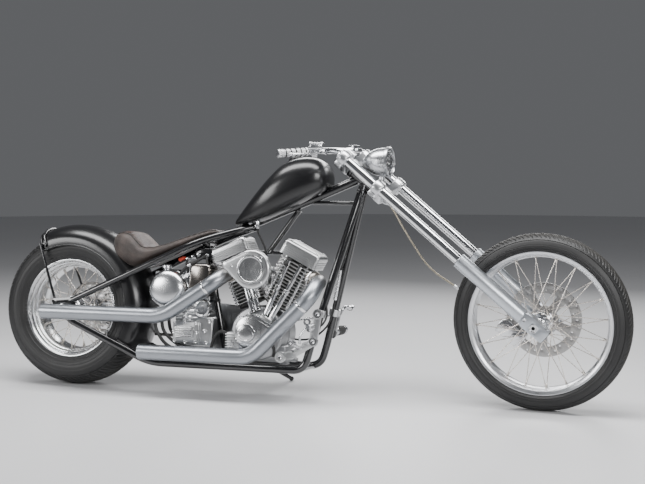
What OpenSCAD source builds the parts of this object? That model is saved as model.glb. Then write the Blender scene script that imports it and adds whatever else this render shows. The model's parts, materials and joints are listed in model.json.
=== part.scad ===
// Rigid-frame chopper: air-cooled V-twin, long raked fork, 21 inch front wheel and fat 16 inch rear wheel.
// Lengths in millimetres. The bike is drawn upright, with x = 0 at the rear axle, x forward, y to the left
// and z = 0 on the floor. parked() then leans it on its side stand and puts the origin under its middle.

/* [Stance] */
// Lean to the left on the side stand, degrees
lean = 5.5; // [4:0.1:8]
// Steering turned to the right as it stands, degrees
steer = 8.6; // [0:0.1:12]
// Distance between the axles
wheelbase = 2002; // [1950:1:2050]
// Fork angle from the vertical, degrees
rake = 50; // [46:0.5:52]

/* [Wheels] */
// Outer radius of the front tyre
front_r = 348; // [340:1:352]
// Width of the front tyre
front_w = 118; // [100:1:130]
// Radius of the front rim at its flange
front_rim_r = 281; // [279:1:283]
// Outer radius of the rear tyre
rear_r = 332.5; // [325:0.5:340]
// Width of the rear tyre
rear_w = 200; // [180:1:210]
// Radius of the rear rim at its flange
rear_rim_r = 211.5; // [209:0.5:214]
// Spokes in each wheel
spokes = 40; // [20:4:40]

/* [Fork] */
// Distance between the fork legs
leg_gap = 257; // [250:1:264]
// Steering axis behind the legs
stem_back = 45; // [40:1:55]
// Lower clamp above the front axle, along the fork
clamp_low = 812; // [800:1:820]
// Upper clamp above the front axle, along the fork
clamp_high = 996; // [990:1:1004]
// Radius of a fork tube
tube_r = 20.5; // [19:0.5:22]
// Radius of a slider
slider_r = 30; // [28:0.5:32]
// Top of a slider above the axle, along the fork
slider_top = 384; // [360:1:400]

/* [Frame] */
// Radius of the main frame tubes
rail_r = 15.9; // [14:0.1:17]
// Height of the lower rails
rail_z = 120; // [112:1:130]
// Half the distance between the lower rails
rail_y = 122; // [116:1:126]
// Half the distance between the axle plates
plate_y = 142; // [140:1:146]

/* [Engine] */
// Crankshaft, forward of the rear axle
crank_x = 862; // [850:1:875]
// Crankshaft above the floor
crank_z = 258; // [250:1:266]
// Lean of each cylinder from the vertical, degrees
vee = 25; // [22:0.5:27]
// Radius of a cylinder's fins
fin_r = 78; // [70:1:80]

/* [Bodywork] */
// Half width of the fuel tank
tank_half = 120; // [110:1:125]
// Half width of the seat
seat_half = 128; // [120:1:135]
// Radius of the rear fender's crown
fender_r = 364; // [358:1:368]
// Half width of the rear fender
fender_half = 113; // [111:1:116]
// Radius of the exhaust pipes
pipe_r = 31.8; // [28:0.1:33]
// Radius inside the exhaust pipes
pipe_bore = 29.6; // [27:0.1:30]

/* [Hidden] */
$fn = 64;

paint = [0.02, 0.02, 0.022];
steel = [0.55, 0.56, 0.58];
alloy = [0.72, 0.72, 0.73];
rubber = [0.05, 0.05, 0.05];
leather = [0.16, 0.09, 0.06];

front_crown = 58;
rear_crown = 118;
leg_y = leg_gap / 2;
axle_f = [wheelbase, 0, front_r];
axle_r = [0, 0, rear_r];
run_gap = 0.05;

// ---------- turning, leaning and standing ----------
function turn_x(a) = [[1, 0, 0], [0, cos(a), -sin(a)], [0, sin(a), cos(a)]];
function turn_y(a) = [[cos(a), 0, sin(a)], [0, 1, 0], [-sin(a), 0, cos(a)]];
function turn_z(a) = [[cos(a), -sin(a), 0], [sin(a), cos(a), 0], [0, 0, 1]];
function unit(v) = v / norm(v);

// lowest point of a leaning tyre: its crown is a torus
function tyre_low(m, c, n, r, crown) =
    let (pc = m * c, pn = m * n)
    pc.z - (r - crown) * sqrt(1 - pn.z * pn.z) - crown;

stem = [stem_back, 0, 0];
front_c = axle_f + turn_y(-rake) * (turn_z(-steer) * stem - stem);
front_n = turn_y(-rake) * (turn_z(-steer) * [0, 1, 0]);
leaned = turn_x(-lean);
rear_drop = tyre_low(leaned, axle_r, [0, 1, 0], rear_r, rear_crown);
front_drop = tyre_low(leaned, front_c, front_n, front_r, front_crown);
pitch = atan((front_drop - rear_drop) / wheelbase);
stance = turn_y(pitch) * leaned;
lift = -tyre_low(stance, axle_r, [0, 1, 0], rear_r, rear_crown);
middle = [1008, 90];

module parked() {
    translate([-middle.x, -middle.y, lift]) rotate([-lean, pitch, 0]) children();
}

// the fork's own frame: origin on the axle, z up along the legs, x ahead of them
module on_fork() {
    translate(axle_f) rotate([0, -rake, 0]) children();
}

module steered() {
    parked() on_fork() translate(-stem) rotate([0, 0, -steer]) translate(stem) children();
}

// things on the fork that are measured from the floor and the rear axle
module steered_upright() {
    steered() rotate([0, rake, 0]) translate(-axle_f) children();
}

// a wheel's own axis lies along y
module across() {
    rotate([-90, 0, 0]) children();
}

// ---------- shared shapes ----------
module rod(a, b, r) {
    d = b - a;
    translate(a) rotate([0, acos(d.z / norm(d)), atan2(d.y, d.x)]) cylinder(h = norm(d), r = r);
}

// corners turned into arcs of the given radius
function arc_at(a, p, b, radius, steps) =
    let (
        u = unit(a - p),
        v = unit(b - p),
        half = acos(u * v) / 2,
        reach = radius / tan(half),
        c = p + unit(u + v) * radius / sin(half),
        s = p + u * reach - c,
        e = p + v * reach - c,
        sweep = 180 - 2 * half
    )
    [for (k = [0:steps]) c + (s * sin(sweep * (1 - k / steps)) + e * sin(sweep * k / steps)) / sin(sweep)];

function rounded(points, radius, steps = 6) =
    let (last = len(points) - 1)
    [
        points[0],
        for (i = [1:1:last - 1]) each arc_at(points[i - 1], points[i], points[i + 1], radius, steps),
        points[last]
    ];

// a tube of one radius swept along points that never run parallel to the direction up
module swept(points, r, sides = 16, up = [0, 1, 0]) {
    n = len(points);
    ring = [
        for (i = [0:n - 1])
            let (
                t = unit(points[min(i + 1, n - 1)] - points[max(i - 1, 0)]),
                u = unit(cross(t, up)),
                w = cross(t, u)
            )
            for (k = [0:sides - 1]) points[i] + r * (cos(360 * k / sides) * u + sin(360 * k / sides) * w)
    ];
    walls = [
        for (i = [0:n - 2])
            for (k = [0:sides - 1])
                let (j = (k + 1) % sides)
                [i * sides + k, (i + 1) * sides + k, (i + 1) * sides + j, i * sides + j]
    ];
    near_cap = [for (k = [0:sides - 1]) k];
    far_cap = [for (k = [0:sides - 1]) n * sides - 1 - k];
    polyhedron(concat(ring), concat(walls, [near_cap, far_cap]), convexity = 6);
}

// sections across x, each [x, low z, high z, half width]: a rounded belly below and a crown above
module lofted(sections, sides = 28, squareness = 2.6) {
    n = len(sections);
    ring = [
        for (s = sections)
            for (k = [0:sides - 1])
                let (
                    a = 360 * k / sides,
                    e = 2 / squareness,
                    y = s[3] * sign(cos(a)) * pow(abs(cos(a)), e),
                    z = (s[1] + s[2]) / 2 + (s[2] - s[1]) / 2 * sign(sin(a)) * pow(abs(sin(a)), e)
                )
                [s[0], y, z]
    ];
    walls = [
        for (i = [0:n - 2])
            for (k = [0:sides - 1])
                let (j = (k + 1) % sides)
                each [
                    [i * sides + k, (i + 1) * sides + k, (i + 1) * sides + j],
                    [i * sides + k, (i + 1) * sides + j, i * sides + j]
                ]
    ];
    near_cap = [for (k = [0:sides - 1]) k];
    far_cap = [for (k = [0:sides - 1]) n * sides - 1 - k];
    polyhedron(ring, concat(walls, [near_cap, far_cap]), convexity = 6);
}

// ---------- frame ----------
neck_low = clamp_low + 21;
neck_high = clamp_high - 19;
neck_r = 28;
stem_r = 19;
down_top = [1278, 18, 876];
down_foot = [1104, rail_y, 218];
rail_front = [1078, rail_y, rail_z];
rail_rear = [398, rail_y, rail_z];
rail_end = [38, plate_y, 282];
rail_bend = 70;
seat_rail = [[40, plate_y, 368], [330, 128, 505], [600, 108, 632], [748, 50, 680], [806, 19, 696]];
seat_rail_r = 14;
spine = [[1254, 0, 900], [1110, 0, 838], [760, 0, 693]];
spine_r = 18;

function flip(p, side) = [p.x, p.y * side, p.z];

module neck_tube() {
    on_fork() translate([-stem_back, 0, neck_low]) cylinder(h = neck_high - neck_low, r = neck_r);
}

module frame_neck() {
    color(paint) parked() difference() {
        union() {
            neck_tube();
            on_fork() for (z = [neck_low, neck_high - 14])
                translate([-stem_back, 0, z]) cylinder(h = 14, r = neck_r + 4);
        }
        on_fork() translate([-stem_back, 0, neck_low - 1])
            cylinder(h = neck_high - neck_low + 2, r = stem_r + run_gap);
    }
}

module spine_tube() {
    swept(rounded(spine, 300), spine_r);
}

function lower_path(side) =
    rounded([for (p = [down_foot, rail_front, rail_rear, rail_end]) flip(p, side)], rail_bend);

module backbone() {
    color(paint) parked() difference() {
        spine_tube();
        neck_tube();
    }
}

module downtubes() {
    color(paint) parked() for (side = [-1, 1]) difference() {
        swept([flip(down_top, side), flip(down_foot, side)], rail_r);
        neck_tube();
        swept(lower_path(side), rail_r);
    }
}

module lower_rails() {
    color(paint) parked() for (side = [-1, 1]) swept(lower_path(side), rail_r);
}

module seat_rails() {
    color(paint) parked() for (side = [-1, 1]) difference() {
        swept(rounded([for (p = seat_rail) flip(p, side)], 150, 4), seat_rail_r);
        spine_tube();
    }
}

cross_span = rail_y - rail_r;

module cross_tubes() {
    color(paint) parked() difference() {
        union() {
            for (x = [1046, 704, 440]) rod([x, -cross_span, rail_z], [x, cross_span, rail_z], 12);
            rod([590, -91, 628], [590, 91, 628], 11);
            rod([704, 0, rail_z], [592, 0, 628], 14);
            rod([1004, 0, 774], [874, 0, 592], 11);
            rod([814, 0, 592], [933, 0, 592], 8);
            rod([1040, 0, 803], [1258, 0, 803], 8);
            rod([1258, -11, 803], [1258, 11, 803], 8);
        }
        spine_tube();
    }
}

module axle_plates() {
    color(paint) parked() for (side = [-1, 1]) difference() {
        translate([0, side * plate_y - 7, 0]) across() linear_extrude(14) difference() {
            hull() {
                translate([0, -rear_r]) circle(34);
                translate([40, -366]) circle(16);
                translate([40, -286]) circle(16);
                translate([-42, -362]) circle(12);
            }
            translate([0, -rear_r]) circle(12.5);
        }
    }
}

// a plain head inside the pipe on the right, and a nut and an open bore on the left
axle_head = 15;
axle_end = 22;
axle_bore = 200;

module rear_axle() {
    color(alloy) parked() translate(axle_r) across() difference() {
        union() {
            translate([0, 0, -plate_y - axle_head]) cylinder(h = 2 * plate_y + axle_head + axle_end, r = 12.5);
            translate([0, 0, -plate_y - axle_head + 0.5]) cylinder(h = 7.4, r = 22);
            translate([0, 0, plate_y + 7.5]) cylinder(h = 13.5, r = 22);
            translate([0, 0, -plate_y + 7]) cylinder(h = 14, r = 20);
            translate([0, 0, plate_y - 17]) cylinder(h = 10, r = 20);
        }
        translate([0, 0, plate_y + axle_end - axle_bore]) cylinder(h = axle_bore + 1, r = 7);
    }
}

// ---------- engine ----------
barrel_low = 130;
barrel_high = 262;
head_high = 340;
engine_tilt = 2;

// a cylinder's own frame: z up its bore from the crankshaft, and front is +1 or -1
module on_barrel(front) {
    translate([crank_x, 0, crank_z]) rotate([0, front * vee + engine_tilt, 0]) children();
}

module engine_case() {
    color(alloy) parked() difference() {
        union() {
            translate([crank_x, -92, crank_z]) across() cylinder(h = 184, r = 112);
            translate([crank_x, 92, crank_z]) across() cylinder(h = 32, r = 70);
            translate([crank_x - 126, -78, crank_z - 116]) cube([252, 156, 70]);
            translate([crank_x - 70, -96, crank_z - 60]) cube([176, 192, 190]);
        }
        for (front = [-1, 1]) on_barrel(front) translate([-150, -150, barrel_low]) cube([300, 300, 200]);
    }
}

module cylinders() {
    color(alloy) parked() for (front = [-1, 1]) {
        on_barrel(front) translate([0, 0, barrel_low]) cylinder(h = head_high - barrel_low, r = 54);
        difference() {
            on_barrel(front) {
                for (k = [0:8]) translate([0, 0, barrel_low + 8 + k * 14]) cylinder(h = 5, r = fin_r - 4);
                for (k = [0:4]) translate([-fin_r, 12 - fin_r, barrel_high + 2 + k * 15])
                    cube([2 * fin_r, 2 * fin_r - 24, 6]);
            }
            translate([crank_x, 0, crank_z]) rotate([0, engine_tilt, 0])
                translate([front > 0 ? -198 : -2, -100, 0]) cube([200, 200, 400]);
        }
        on_barrel(front) for (x = [22 * front, 52 * front - 8 * front])
            rod([x, -75, barrel_low + 2], [x, -64, head_high - 6], 8);
    }
}

module rocker_boxes() {
    color(steel) parked() for (front = [-1, 1]) on_barrel(front) {
        translate([-86, -70, head_high]) cube([172, 140, 24]);
        hull() {
            translate([-82, -66, head_high + 24]) cube([164, 132, 18]);
            translate([-68, -50, head_high + 24]) cube([136, 100, 40]);
        }
    }
}

module cam_cover() {
    color(alloy) parked() {
        translate([0, -96, 0]) rotate([90, 0, 0]) linear_extrude(38)
            hull() {
                translate([crank_x - 22, crank_z + 2]) circle(46);
                translate([crank_x + 45, crank_z + 45]) circle(38);
                translate([crank_x + 62, crank_z - 8]) circle(34);
            }
        translate([crank_x - 20, -146, crank_z + 12]) across() cylinder(h = 12.5, r = 35);
        translate([crank_x - 104, -136, crank_z - 54]) cube([72, 36, 52]);
    }
}

module air_cleaner() {
    color(steel) parked() {
        translate([866, -196, 521]) across() cylinder(h = 24, r = 80);
        translate([866, -204, 521]) across() cylinder(h = 8.5, r = 58);
        translate([866, -172, 521]) across() cylinder(h = 40, r = 62);
        translate([868, -132, 512]) across() cylinder(h = 100, r = 24);
    }
}

module primary_cover() {
    color(alloy) parked() {
        translate([0, 172, 0]) rotate([90, 0, 0]) linear_extrude(48) hull() {
            translate([crank_x, crank_z]) circle(90);
            translate([drive_x, drive_z]) circle(108);
        }
        translate([drive_x, 171, drive_z]) across() cylinder(h = 10, r = 66);
        translate([crank_x, 171, crank_z]) across() cylinder(h = 7, r = 48);
    }
}

module transmission() {
    color(alloy) parked() {
        translate([500, -104, 160]) cube([132, 202, 176]);
        translate([500, -104, 190]) cube([174, 60, 130]);
        translate([500, -128, 205]) cube([120, 24.5, 96]);
        translate([560, -140, 253]) across() cylinder(h = 12.5, r = 44);
        translate([drive_x, 97.5, drive_z]) across() cylinder(h = 26, r = 30);
    }
}

module oil_tank() {
    color(steel) parked() {
        translate([470, -138, 427]) across() cylinder(h = 238, r = 84);
        translate([470, -150, 427]) across() cylinder(h = 12.5, r1 = 62, r2 = 84);
        translate([452, -86, 505]) cylinder(h = 20, r = 20);
    }
}

// ---------- bodywork ----------
tank_sections = [
    [727, 706, 714, 14],
    [742, 704, 738, 36],
    [780, 709, 788, 62],
    [830, 716, 850, 88],
    [880, 730, 908, 106],
    [930, 752, 957, 116],
    [980, 776, 981, tank_half],
    [1030, 800, 989, tank_half - 1],
    [1080, 826, 985, tank_half - 8],
    [1110, 844, 970, tank_half - 22],
    [1126, 856, 948, tank_half - 42],
    [1132, 872, 925, tank_half - 66]
];

module fuel_tank() {
    color(paint) parked() {
        difference() {
            lofted(tank_sections);
            translate([770, -25, 697]) rotate([0, -22.6, 0]) translate([-80, 0, -90]) cube([560, 50, 113]);
        }
        translate([985, 0, 974]) cylinder(h = 18, r = 30);
    }
}

seat_sections = [
    [196, 596, 628, 62],
    [206, 566, 648, 86],
    [232, 540, 668, 106],
    [270, 522, 674, 118],
    [306, 512, 655, 124],
    [345, 530, 626, 127],
    [395, 554, 614, seat_half],
    [460, 584, 630, seat_half - 6],
    [530, 617, 656, seat_half - 22],
    [600, 650, 678, seat_half - 42],
    [650, 668, 688, seat_half - 62],
    [672, 676, 686, seat_half - 84]
];
fender_crown = 150;

// filled outline of the rear fender, or of the space inside it
module fender_outline(thick) {
    intersection() {
        translate([fender_r - fender_crown, 0]) circle(fender_crown - thick);
        translate([272 - thick, thick - fender_half]) square([120, 2 * fender_half - 2 * thick]);
    }
}

module seat() {
    color(leather) parked() difference() {
        lofted(seat_sections, 28, 3.2);
        translate(axle_r) across() rotate_extrude() fender_outline(-0.3);
    }
}

// room in the fender's left skirt for the chain
module chain_notch() {
    room = chain_out + 6;
    translate([0, fender_half + 5, 0]) rotate([90, 0, 0]) linear_extrude(18) polygon([
        [0, rear_r + sprocket_r + room], [drive_x, drive_z + drive_r + room],
        [drive_x, drive_z - drive_r - room], [0, rear_r - sprocket_r - room]
    ]);
}

module rear_fender() {
    color(paint) parked() {
        difference() {
            translate(axle_r) across() rotate([0, 0, -116]) rotate_extrude(angle = 144) difference() {
                fender_outline(0);
                fender_outline(3);
            }
            chain_notch();
        }
        for (side = [-1, 1]) rod([-142, side * 118, 630], [-42, side * 134, 364], 6);
    }
}

// each pipe: a straight outlet, then its bends up to the head
upper_pipe = [[-72, -190, 319], [484, -190, 319], [706, -178, 468], [734, -132, 500], [738, -67, 502]];
lower_pipe = [
    [384, -190, 168], [872, -190, 168], [1112, -180, 416], [1126, -130, 472], [1114, -56, 476], [1066, -40, 490]
];
bore_deep = 120;
pipe_lap = 20;

module exhaust(points, straight) {
    tail = points[0] + [straight - pipe_lap, 0, 0];
    color(steel) parked() {
        difference() {
            rod(points[0], points[0] + [straight, 0, 0], pipe_r);
            rod(points[0] - [1, 0, 0], points[0] + [bore_deep, 0, 0], pipe_bore);
        }
        swept(
            rounded([for (i = [0:len(points) - 1]) i == 0 ? tail : points[i]], 34, 4),
            pipe_r - 0.3, 20, [0, 0, 1]
        );
    }
}

// ---------- controls ----------
down_dir = unit(down_top - down_foot);

// a split collar round one downtube, with its boss reaching out to a plate
module collar(z, side, out) {
    c = flip(down_foot + down_dir * (z - down_foot.z) / down_dir.z, side);
    d = flip(down_dir, side);
    difference() {
        union() {
            rod(c - 14 * d, c + 14 * d, rail_r + 8);
            rod([c.x, c.y, z], [c.x, side * out, z], 11);
        }
        rod(c - 40 * d, c + 40 * d, rail_r + 0.1);
    }
}

module control_plate(points, side, y) {
    translate([0, side * y + 6, 0]) rotate([90, 0, 0]) linear_extrude(12) for (i = [0:len(points) - 2]) hull() {
        translate([points[i].x, points[i].y]) circle(20);
        translate([points[i + 1].x, points[i + 1].y]) circle(20);
    }
}

module forward_control_right() {
    color(alloy) parked() {
        collar(350, -1, 150);
        control_plate([[1139, 350], [1122, 240], [1034, 185]], -1, 150);
        rod([1034, -150, 185], [1034, -300, 185], 19);
        rod([1096, -176, 292], [1112, -150, 300], 20);
        rod([1078, -150, 214], [1064, -262, 237], 12);
    }
}

module forward_control_left() {
    color(alloy) parked() {
        collar(350, 1, 150);
        control_plate([[1139, 350], [1118, 256]], 1, 150);
        rod([1128, 150, 266], [1128, 300, 266], 19);
        rod([1150, 150, 346], [1168, 288, 364], 12);
    }
}

// ---------- rear brake and drive ----------
sprocket_y = 110;
sprocket_r = 104;
drive_x = 596;
drive_z = 262;
drive_r = 46;
chain_half = 5;
chain_out = 22;
chain_in = 8;

module rear_caliper() {
    color(steel) parked() difference() {
        translate([52, sprocket_y - 16, rear_r - 36]) cube([78, plate_y - 7 - sprocket_y + 16, 59]);
        translate(axle_r + [0, sprocket_y - 9.5, 0]) across() cylinder(h = 19, r = sprocket_r + 8);
    }
}

module drive_chain() {
    color(steel) parked() translate([0, sprocket_y + chain_half, 0]) rotate([90, 0, 0])
        linear_extrude(2 * chain_half) difference() {
            hull() {
                translate([0, rear_r]) circle(sprocket_r + chain_out);
                translate([drive_x, drive_z]) circle(drive_r + chain_out);
            }
            hull() {
                translate([0, rear_r]) circle(sprocket_r + chain_in);
                translate([drive_x, drive_z]) circle(drive_r + chain_in);
            }
        }
}

// ---------- front end ----------
module clamp_plate(z, h, back) {
    translate([0, 0, z - h / 2]) linear_extrude(h) difference() {
        union() {
            for (side = [-1, 1]) hull() {
                translate([0, side * leg_y]) circle(tube_r + 12);
                translate([-stem_back, side * 20]) circle(back);
            }
        }
        for (side = [-1, 1]) translate([0, side * leg_y]) circle(tube_r);
    }
}

module triple_clamps() {
    color(alloy) steered() {
        clamp_plate(clamp_low, 32, 34);
        clamp_plate(clamp_high, 28, 34);
        translate([-stem_back, 0, clamp_low]) cylinder(h = clamp_high - clamp_low, r = stem_r);
    }
}

module fork_tubes() {
    color(steel) steered() for (side = [-1, 1]) {
        translate([0, side * leg_y, slider_top]) cylinder(h = clamp_high + 14 - slider_top, r = tube_r);
        translate([0, side * leg_y, clamp_high + 14]) cylinder(h = 12, r = tube_r + 3);
    }
}

module fork_sliders() {
    color(alloy) steered() for (side = [-1, 1]) difference() {
        union() {
            translate([0, side * leg_y, 40]) cylinder(h = slider_top - 40, r = slider_r);
            translate([-24, side * leg_y - 24, -58]) cube([48, 48, 110]);
        }
        translate([0, side * leg_y, 0]) across() translate([0, 0, -40]) cylinder(h = 80, r = 12.5);
    }
}

module front_axle() {
    color(steel) steered() across() difference() {
        union() {
            translate([0, 0, -leg_y - 30]) cylinder(h = leg_gap + 60, r = 12.5);
            for (z = [-leg_y - 32, leg_y + 24]) translate([0, 0, z]) cylinder(h = 8, r = 19);
            translate([0, 0, 24 - leg_y]) cylinder(h = leg_y - 24 - 46, r = 17);
            translate([0, 0, 70]) cylinder(h = leg_y - 24 - 70, r = 17);
        }
        translate([0, 0, -leg_y - 40]) cylinder(h = leg_gap + 80, r = 7);
    }
}

bar_path = [[1054, 352, 1012], [1136, 246, 1018], [1184, 120, 1020], [1191, 0, 1016]];
bar_r = 12.7;

module bar_tube() {
    half = rounded(bar_path, 90, 5);
    swept(concat(
        [for (p = half) p],
        [for (i = [len(half) - 2:-1:0]) flip(half[i], -1)]
    ), bar_r, 16, [0, 0, 1]);
}

module handlebar() {
    color(alloy) steered_upright() bar_tube();
    color(alloy) steered() for (side = [-1, 1])
        translate([-10, side * 42, clamp_high + 14]) cylinder(h = 36, r = 15);
}

module hand_controls() {
    color(alloy) steered_upright() for (side = [-1, 1]) {
        difference() {
            translate(flip([1150, 224, 1019], side)) rotate([0, 0, side * -30]) {
                translate([-22, -24, -18]) cube([44, 48, 40]);
                translate([20, -18, -12]) cube([30, 36, 32]);
            }
            bar_tube();
        }
        rod(flip([1186, 258, 1016], side), flip([1108, 360, 1010], side), 6);
    }
}

module headlight() {
    color(steel) steered_upright() translate([1272, 0, 971]) rotate([0, 90, 0]) {
        translate([0, 0, 52]) cylinder(h = 64, r = 58);
        cylinder(h = 52, r1 = 17, r2 = 58);
        translate([0, 0, 104]) cylinder(h = 16, r = 62);
    }
    color(steel) steered() translate([34, -12, clamp_low + 2]) cube([24, 24, 60]);
}

disc_y = 62;
disc_r = 148;

module front_caliper() {
    color(steel) steered() difference() {
        union() {
            translate([-160, 34, 4]) cube([70, 64, 120]);
            translate([-96, 84, 40]) cube([92, 26, 40]);
        }
        translate([0, disc_y - 8, 0]) across() cylinder(h = 16, r = disc_r + 8);
        translate([0, leg_y, 0]) cylinder(h = 200, r = slider_r);
        translate([-24, leg_y - 24, -58]) cube([48, 48, 110]);
    }
}

hose_route = [
    [1376, 0, 812], [1400, 14, 770], [1426, 28, 716], [1450, 42, 669], [1474, 60, 622],
    [1500, 78, 574], [1528, 94, 536], [1562, 108, 504], [1600, 116, 478], [1640, 118, 452]
];

module brake_hose() {
    color(leather) steered_upright() swept(hose_route, 4, 8);
}

// ---------- wheels ----------
module rim_profile(r, half, bed) {
    polygon([
        [r, half], [r, half - 4], [r - 12, half - 6], [r - 14, half - 14], [bed + 6, half * 0.35],
        [bed + 6, -half * 0.35], [r - 14, 14 - half], [r - 12, 6 - half], [r, 4 - half], [r, -half],
        [r - 7, -half], [r - 19, 8 - half], [bed, -half * 0.4], [bed, half * 0.4], [r - 19, half - 8],
        [r - 7, half]
    ]);
}

module casing(r, half, crown, bead_r, bead_half) {
    intersection() {
        translate([r - crown, 0]) circle(crown, $fn = 128);
        polygon([
            [bead_r - 11, 6 - bead_half], [bead_r, 4 - bead_half], [bead_r + 1, 1 - bead_half],
            [bead_r + 30, 2 - half], [bead_r + 48, -half], [r + 1, -half],
            [r + 1, half], [bead_r + 48, half], [bead_r + 30, half - 2],
            [bead_r + 1, bead_half - 1], [bead_r, bead_half - 4], [bead_r - 11, bead_half - 6]
        ]);
    }
}

module tyre_profile(r, half, crown, rim_r, rim_half) {
    wall = 12;
    difference() {
        casing(r, half, crown, rim_r, rim_half);
        casing(r - wall, half - wall + 3, crown - wall, rim_r - 1, rim_half - wall + 2);
    }
}

// crossed spokes from both flanges of a hub to the bed of the rim
module laced(flange_y, flange_r, bed_y, bed_r, lead) {
    pairs = spokes / 4;
    for (side = [-1, 1]) for (i = [0:pairs - 1]) for (way = [-1, 1]) {
        a = (i + (side + 1) / 4) * 360 / pairs;
        b = a + way * 90 / pairs;
        rod(
            [flange_r * cos(b - way * lead), flange_r * sin(b - way * lead), side * flange_y],
            [bed_r * cos(b), bed_r * sin(b), side * bed_y],
            1.7
        );
    }
}

module front_tyre() {
    color(rubber) steered() across() rotate_extrude()
        tyre_profile(front_r, front_w / 2, front_crown, front_rim_r, 42);
}

module front_rim() {
    color(steel) steered() across() rotate_extrude() rim_profile(front_rim_r, 42, 256);
}

module front_hub() {
    color(steel) steered() across() difference() {
        union() {
            translate([0, 0, -40]) cylinder(h = 80, r = 24);
            for (z = [-36, 30]) translate([0, 0, z]) cylinder(h = 6, r = 42);
            translate([0, 0, 36]) cylinder(h = disc_y - 38.5, r = 34);
            laced(33, 38, 6, 257, 70);
        }
        translate([0, 0, -70]) cylinder(h = 140, r = 12.5 + run_gap);
    }
}

module front_disc() {
    color(steel) steered() across() translate([0, 0, disc_y - 2.5]) linear_extrude(5) difference() {
        circle(disc_r);
        circle(24);
        for (a = [0:30:330]) rotate(a) translate([70, 0]) circle(17);
    }
}

module rear_tyre() {
    color(rubber) parked() translate(axle_r) across() rotate_extrude()
        tyre_profile(rear_r, rear_w / 2, rear_crown, rear_rim_r, 84);
}

module rear_rim() {
    color(steel) parked() translate(axle_r) across() rotate_extrude() rim_profile(rear_rim_r, 84, 174);
}

module rear_hub() {
    color(steel) parked() translate(axle_r) across() difference() {
        union() {
            translate([0, 0, -112]) cylinder(h = sprocket_y + 108, r = 30);
            for (z = [-46, 40]) translate([0, 0, z]) cylinder(h = 6, r = 52);
            translate([0, 0, sprocket_y - 19]) cylinder(h = 15, r = 46);
            laced(43, 47, 8, 175, 60);
        }
        translate([0, 0, -150]) cylinder(h = 300, r = 12.5 + run_gap);
    }
}

module rear_sprocket() {
    color(steel) parked() translate(axle_r) across() translate([0, 0, sprocket_y - 4]) linear_extrude(8)
        difference() {
            circle(sprocket_r);
            circle(22);
        }
}

// ---------- side stand ----------
stand_pivot = [800, 168, 120];
foot_r = 11;
foot_at = [892, 300];
// height that puts the round toe on the floor once the bike leans
foot_z = (foot_r - lift - stance[2][0] * foot_at.x - stance[2][1] * foot_at.y) / stance[2][2];
stand_foot = [foot_at.x, foot_at.y, foot_z];
stand_out = unit(stand_foot - stand_pivot);
stand_in = unit([-1, 0.14, 0]);
stand_axis = unit(cross(stand_out, stand_in));
stand_fold = acos(stand_out * stand_in);
boss_half = 12;
pin_r = 7;

module stand_bracket() {
    color(paint) parked() {
        rod(stand_pivot - 24 * stand_axis, stand_pivot + 24 * stand_axis, pin_r);
        for (s = [-1, 1])
            rod(stand_pivot + s * 13 * stand_axis, stand_pivot + s * 21 * stand_axis, 15);
        difference() {
            translate([784, 132, 92]) cube([32, 32, 56]);
            rod([700, rail_y, rail_z], [900, rail_y, rail_z], rail_r + 0.1);
            rod(stand_pivot - 13 * stand_axis, stand_pivot + 13 * stand_axis, 22);
        }
    }
}

module side_stand() {
    color(paint) parked() difference() {
        union() {
            rod(stand_pivot - boss_half * stand_axis, stand_pivot + boss_half * stand_axis, 15);
            rod(stand_pivot, stand_foot, 9);
            translate(stand_foot) sphere(foot_r);
        }
        rod(stand_pivot - 30 * stand_axis, stand_pivot + 30 * stand_axis, pin_r + run_gap);
    }
}

frame_neck();
backbone();
downtubes();
lower_rails();
seat_rails();
cross_tubes();
axle_plates();
rear_axle();
stand_bracket();
engine_case();
cylinders();
rocker_boxes();
cam_cover();
air_cleaner();
primary_cover();
transmission();
oil_tank();
fuel_tank();
seat();
rear_fender();
exhaust(upper_pipe, 480);  // exhaust_upper
exhaust(lower_pipe, 440);  // exhaust_lower
forward_control_right();
forward_control_left();
rear_caliper();
drive_chain();
triple_clamps();
fork_tubes();
fork_sliders();
front_axle();
handlebar();
hand_controls();
headlight();
front_caliper();
brake_hose();
front_tyre();
front_rim();
front_hub();
front_disc();
rear_tyre();
rear_rim();
rear_hub();
rear_sprocket();
side_stand();
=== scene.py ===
import json
from math import atan2, cos, hypot, pi, radians, sin, tau

import bmesh
import bpy
from mathutils import Matrix, Vector
from mathutils.bvhtree import BVHTree


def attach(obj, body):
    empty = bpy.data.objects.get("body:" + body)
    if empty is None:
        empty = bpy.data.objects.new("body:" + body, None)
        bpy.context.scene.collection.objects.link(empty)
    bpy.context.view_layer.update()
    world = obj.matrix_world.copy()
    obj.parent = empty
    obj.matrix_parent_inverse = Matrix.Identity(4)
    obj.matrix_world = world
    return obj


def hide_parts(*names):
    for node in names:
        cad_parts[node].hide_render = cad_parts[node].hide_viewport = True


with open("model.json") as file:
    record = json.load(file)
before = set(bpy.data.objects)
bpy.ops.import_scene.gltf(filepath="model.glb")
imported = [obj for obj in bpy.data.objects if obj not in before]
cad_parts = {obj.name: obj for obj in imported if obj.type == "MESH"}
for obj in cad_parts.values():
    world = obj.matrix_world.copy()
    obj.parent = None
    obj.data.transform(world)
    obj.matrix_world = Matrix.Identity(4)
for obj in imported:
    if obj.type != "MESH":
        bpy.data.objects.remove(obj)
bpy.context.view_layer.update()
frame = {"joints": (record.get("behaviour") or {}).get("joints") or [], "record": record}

# ---------- How the bike stands ----------
# The bike leans on its side stand with the fork turned a little. Each piece is drawn upright and in
# millimetres, from the floor under the rear axle, and these places put it where the bike stands.
joints = {joint["name"]: joint for joint in frame["joints"]}
mounts = {mount["name"]: mount for mount in frame["record"]["mounts"]}
RAKE = radians(50)
WHEELBASE = 2002
REAR_R = 332.5
FRONT_R = 348


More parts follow.
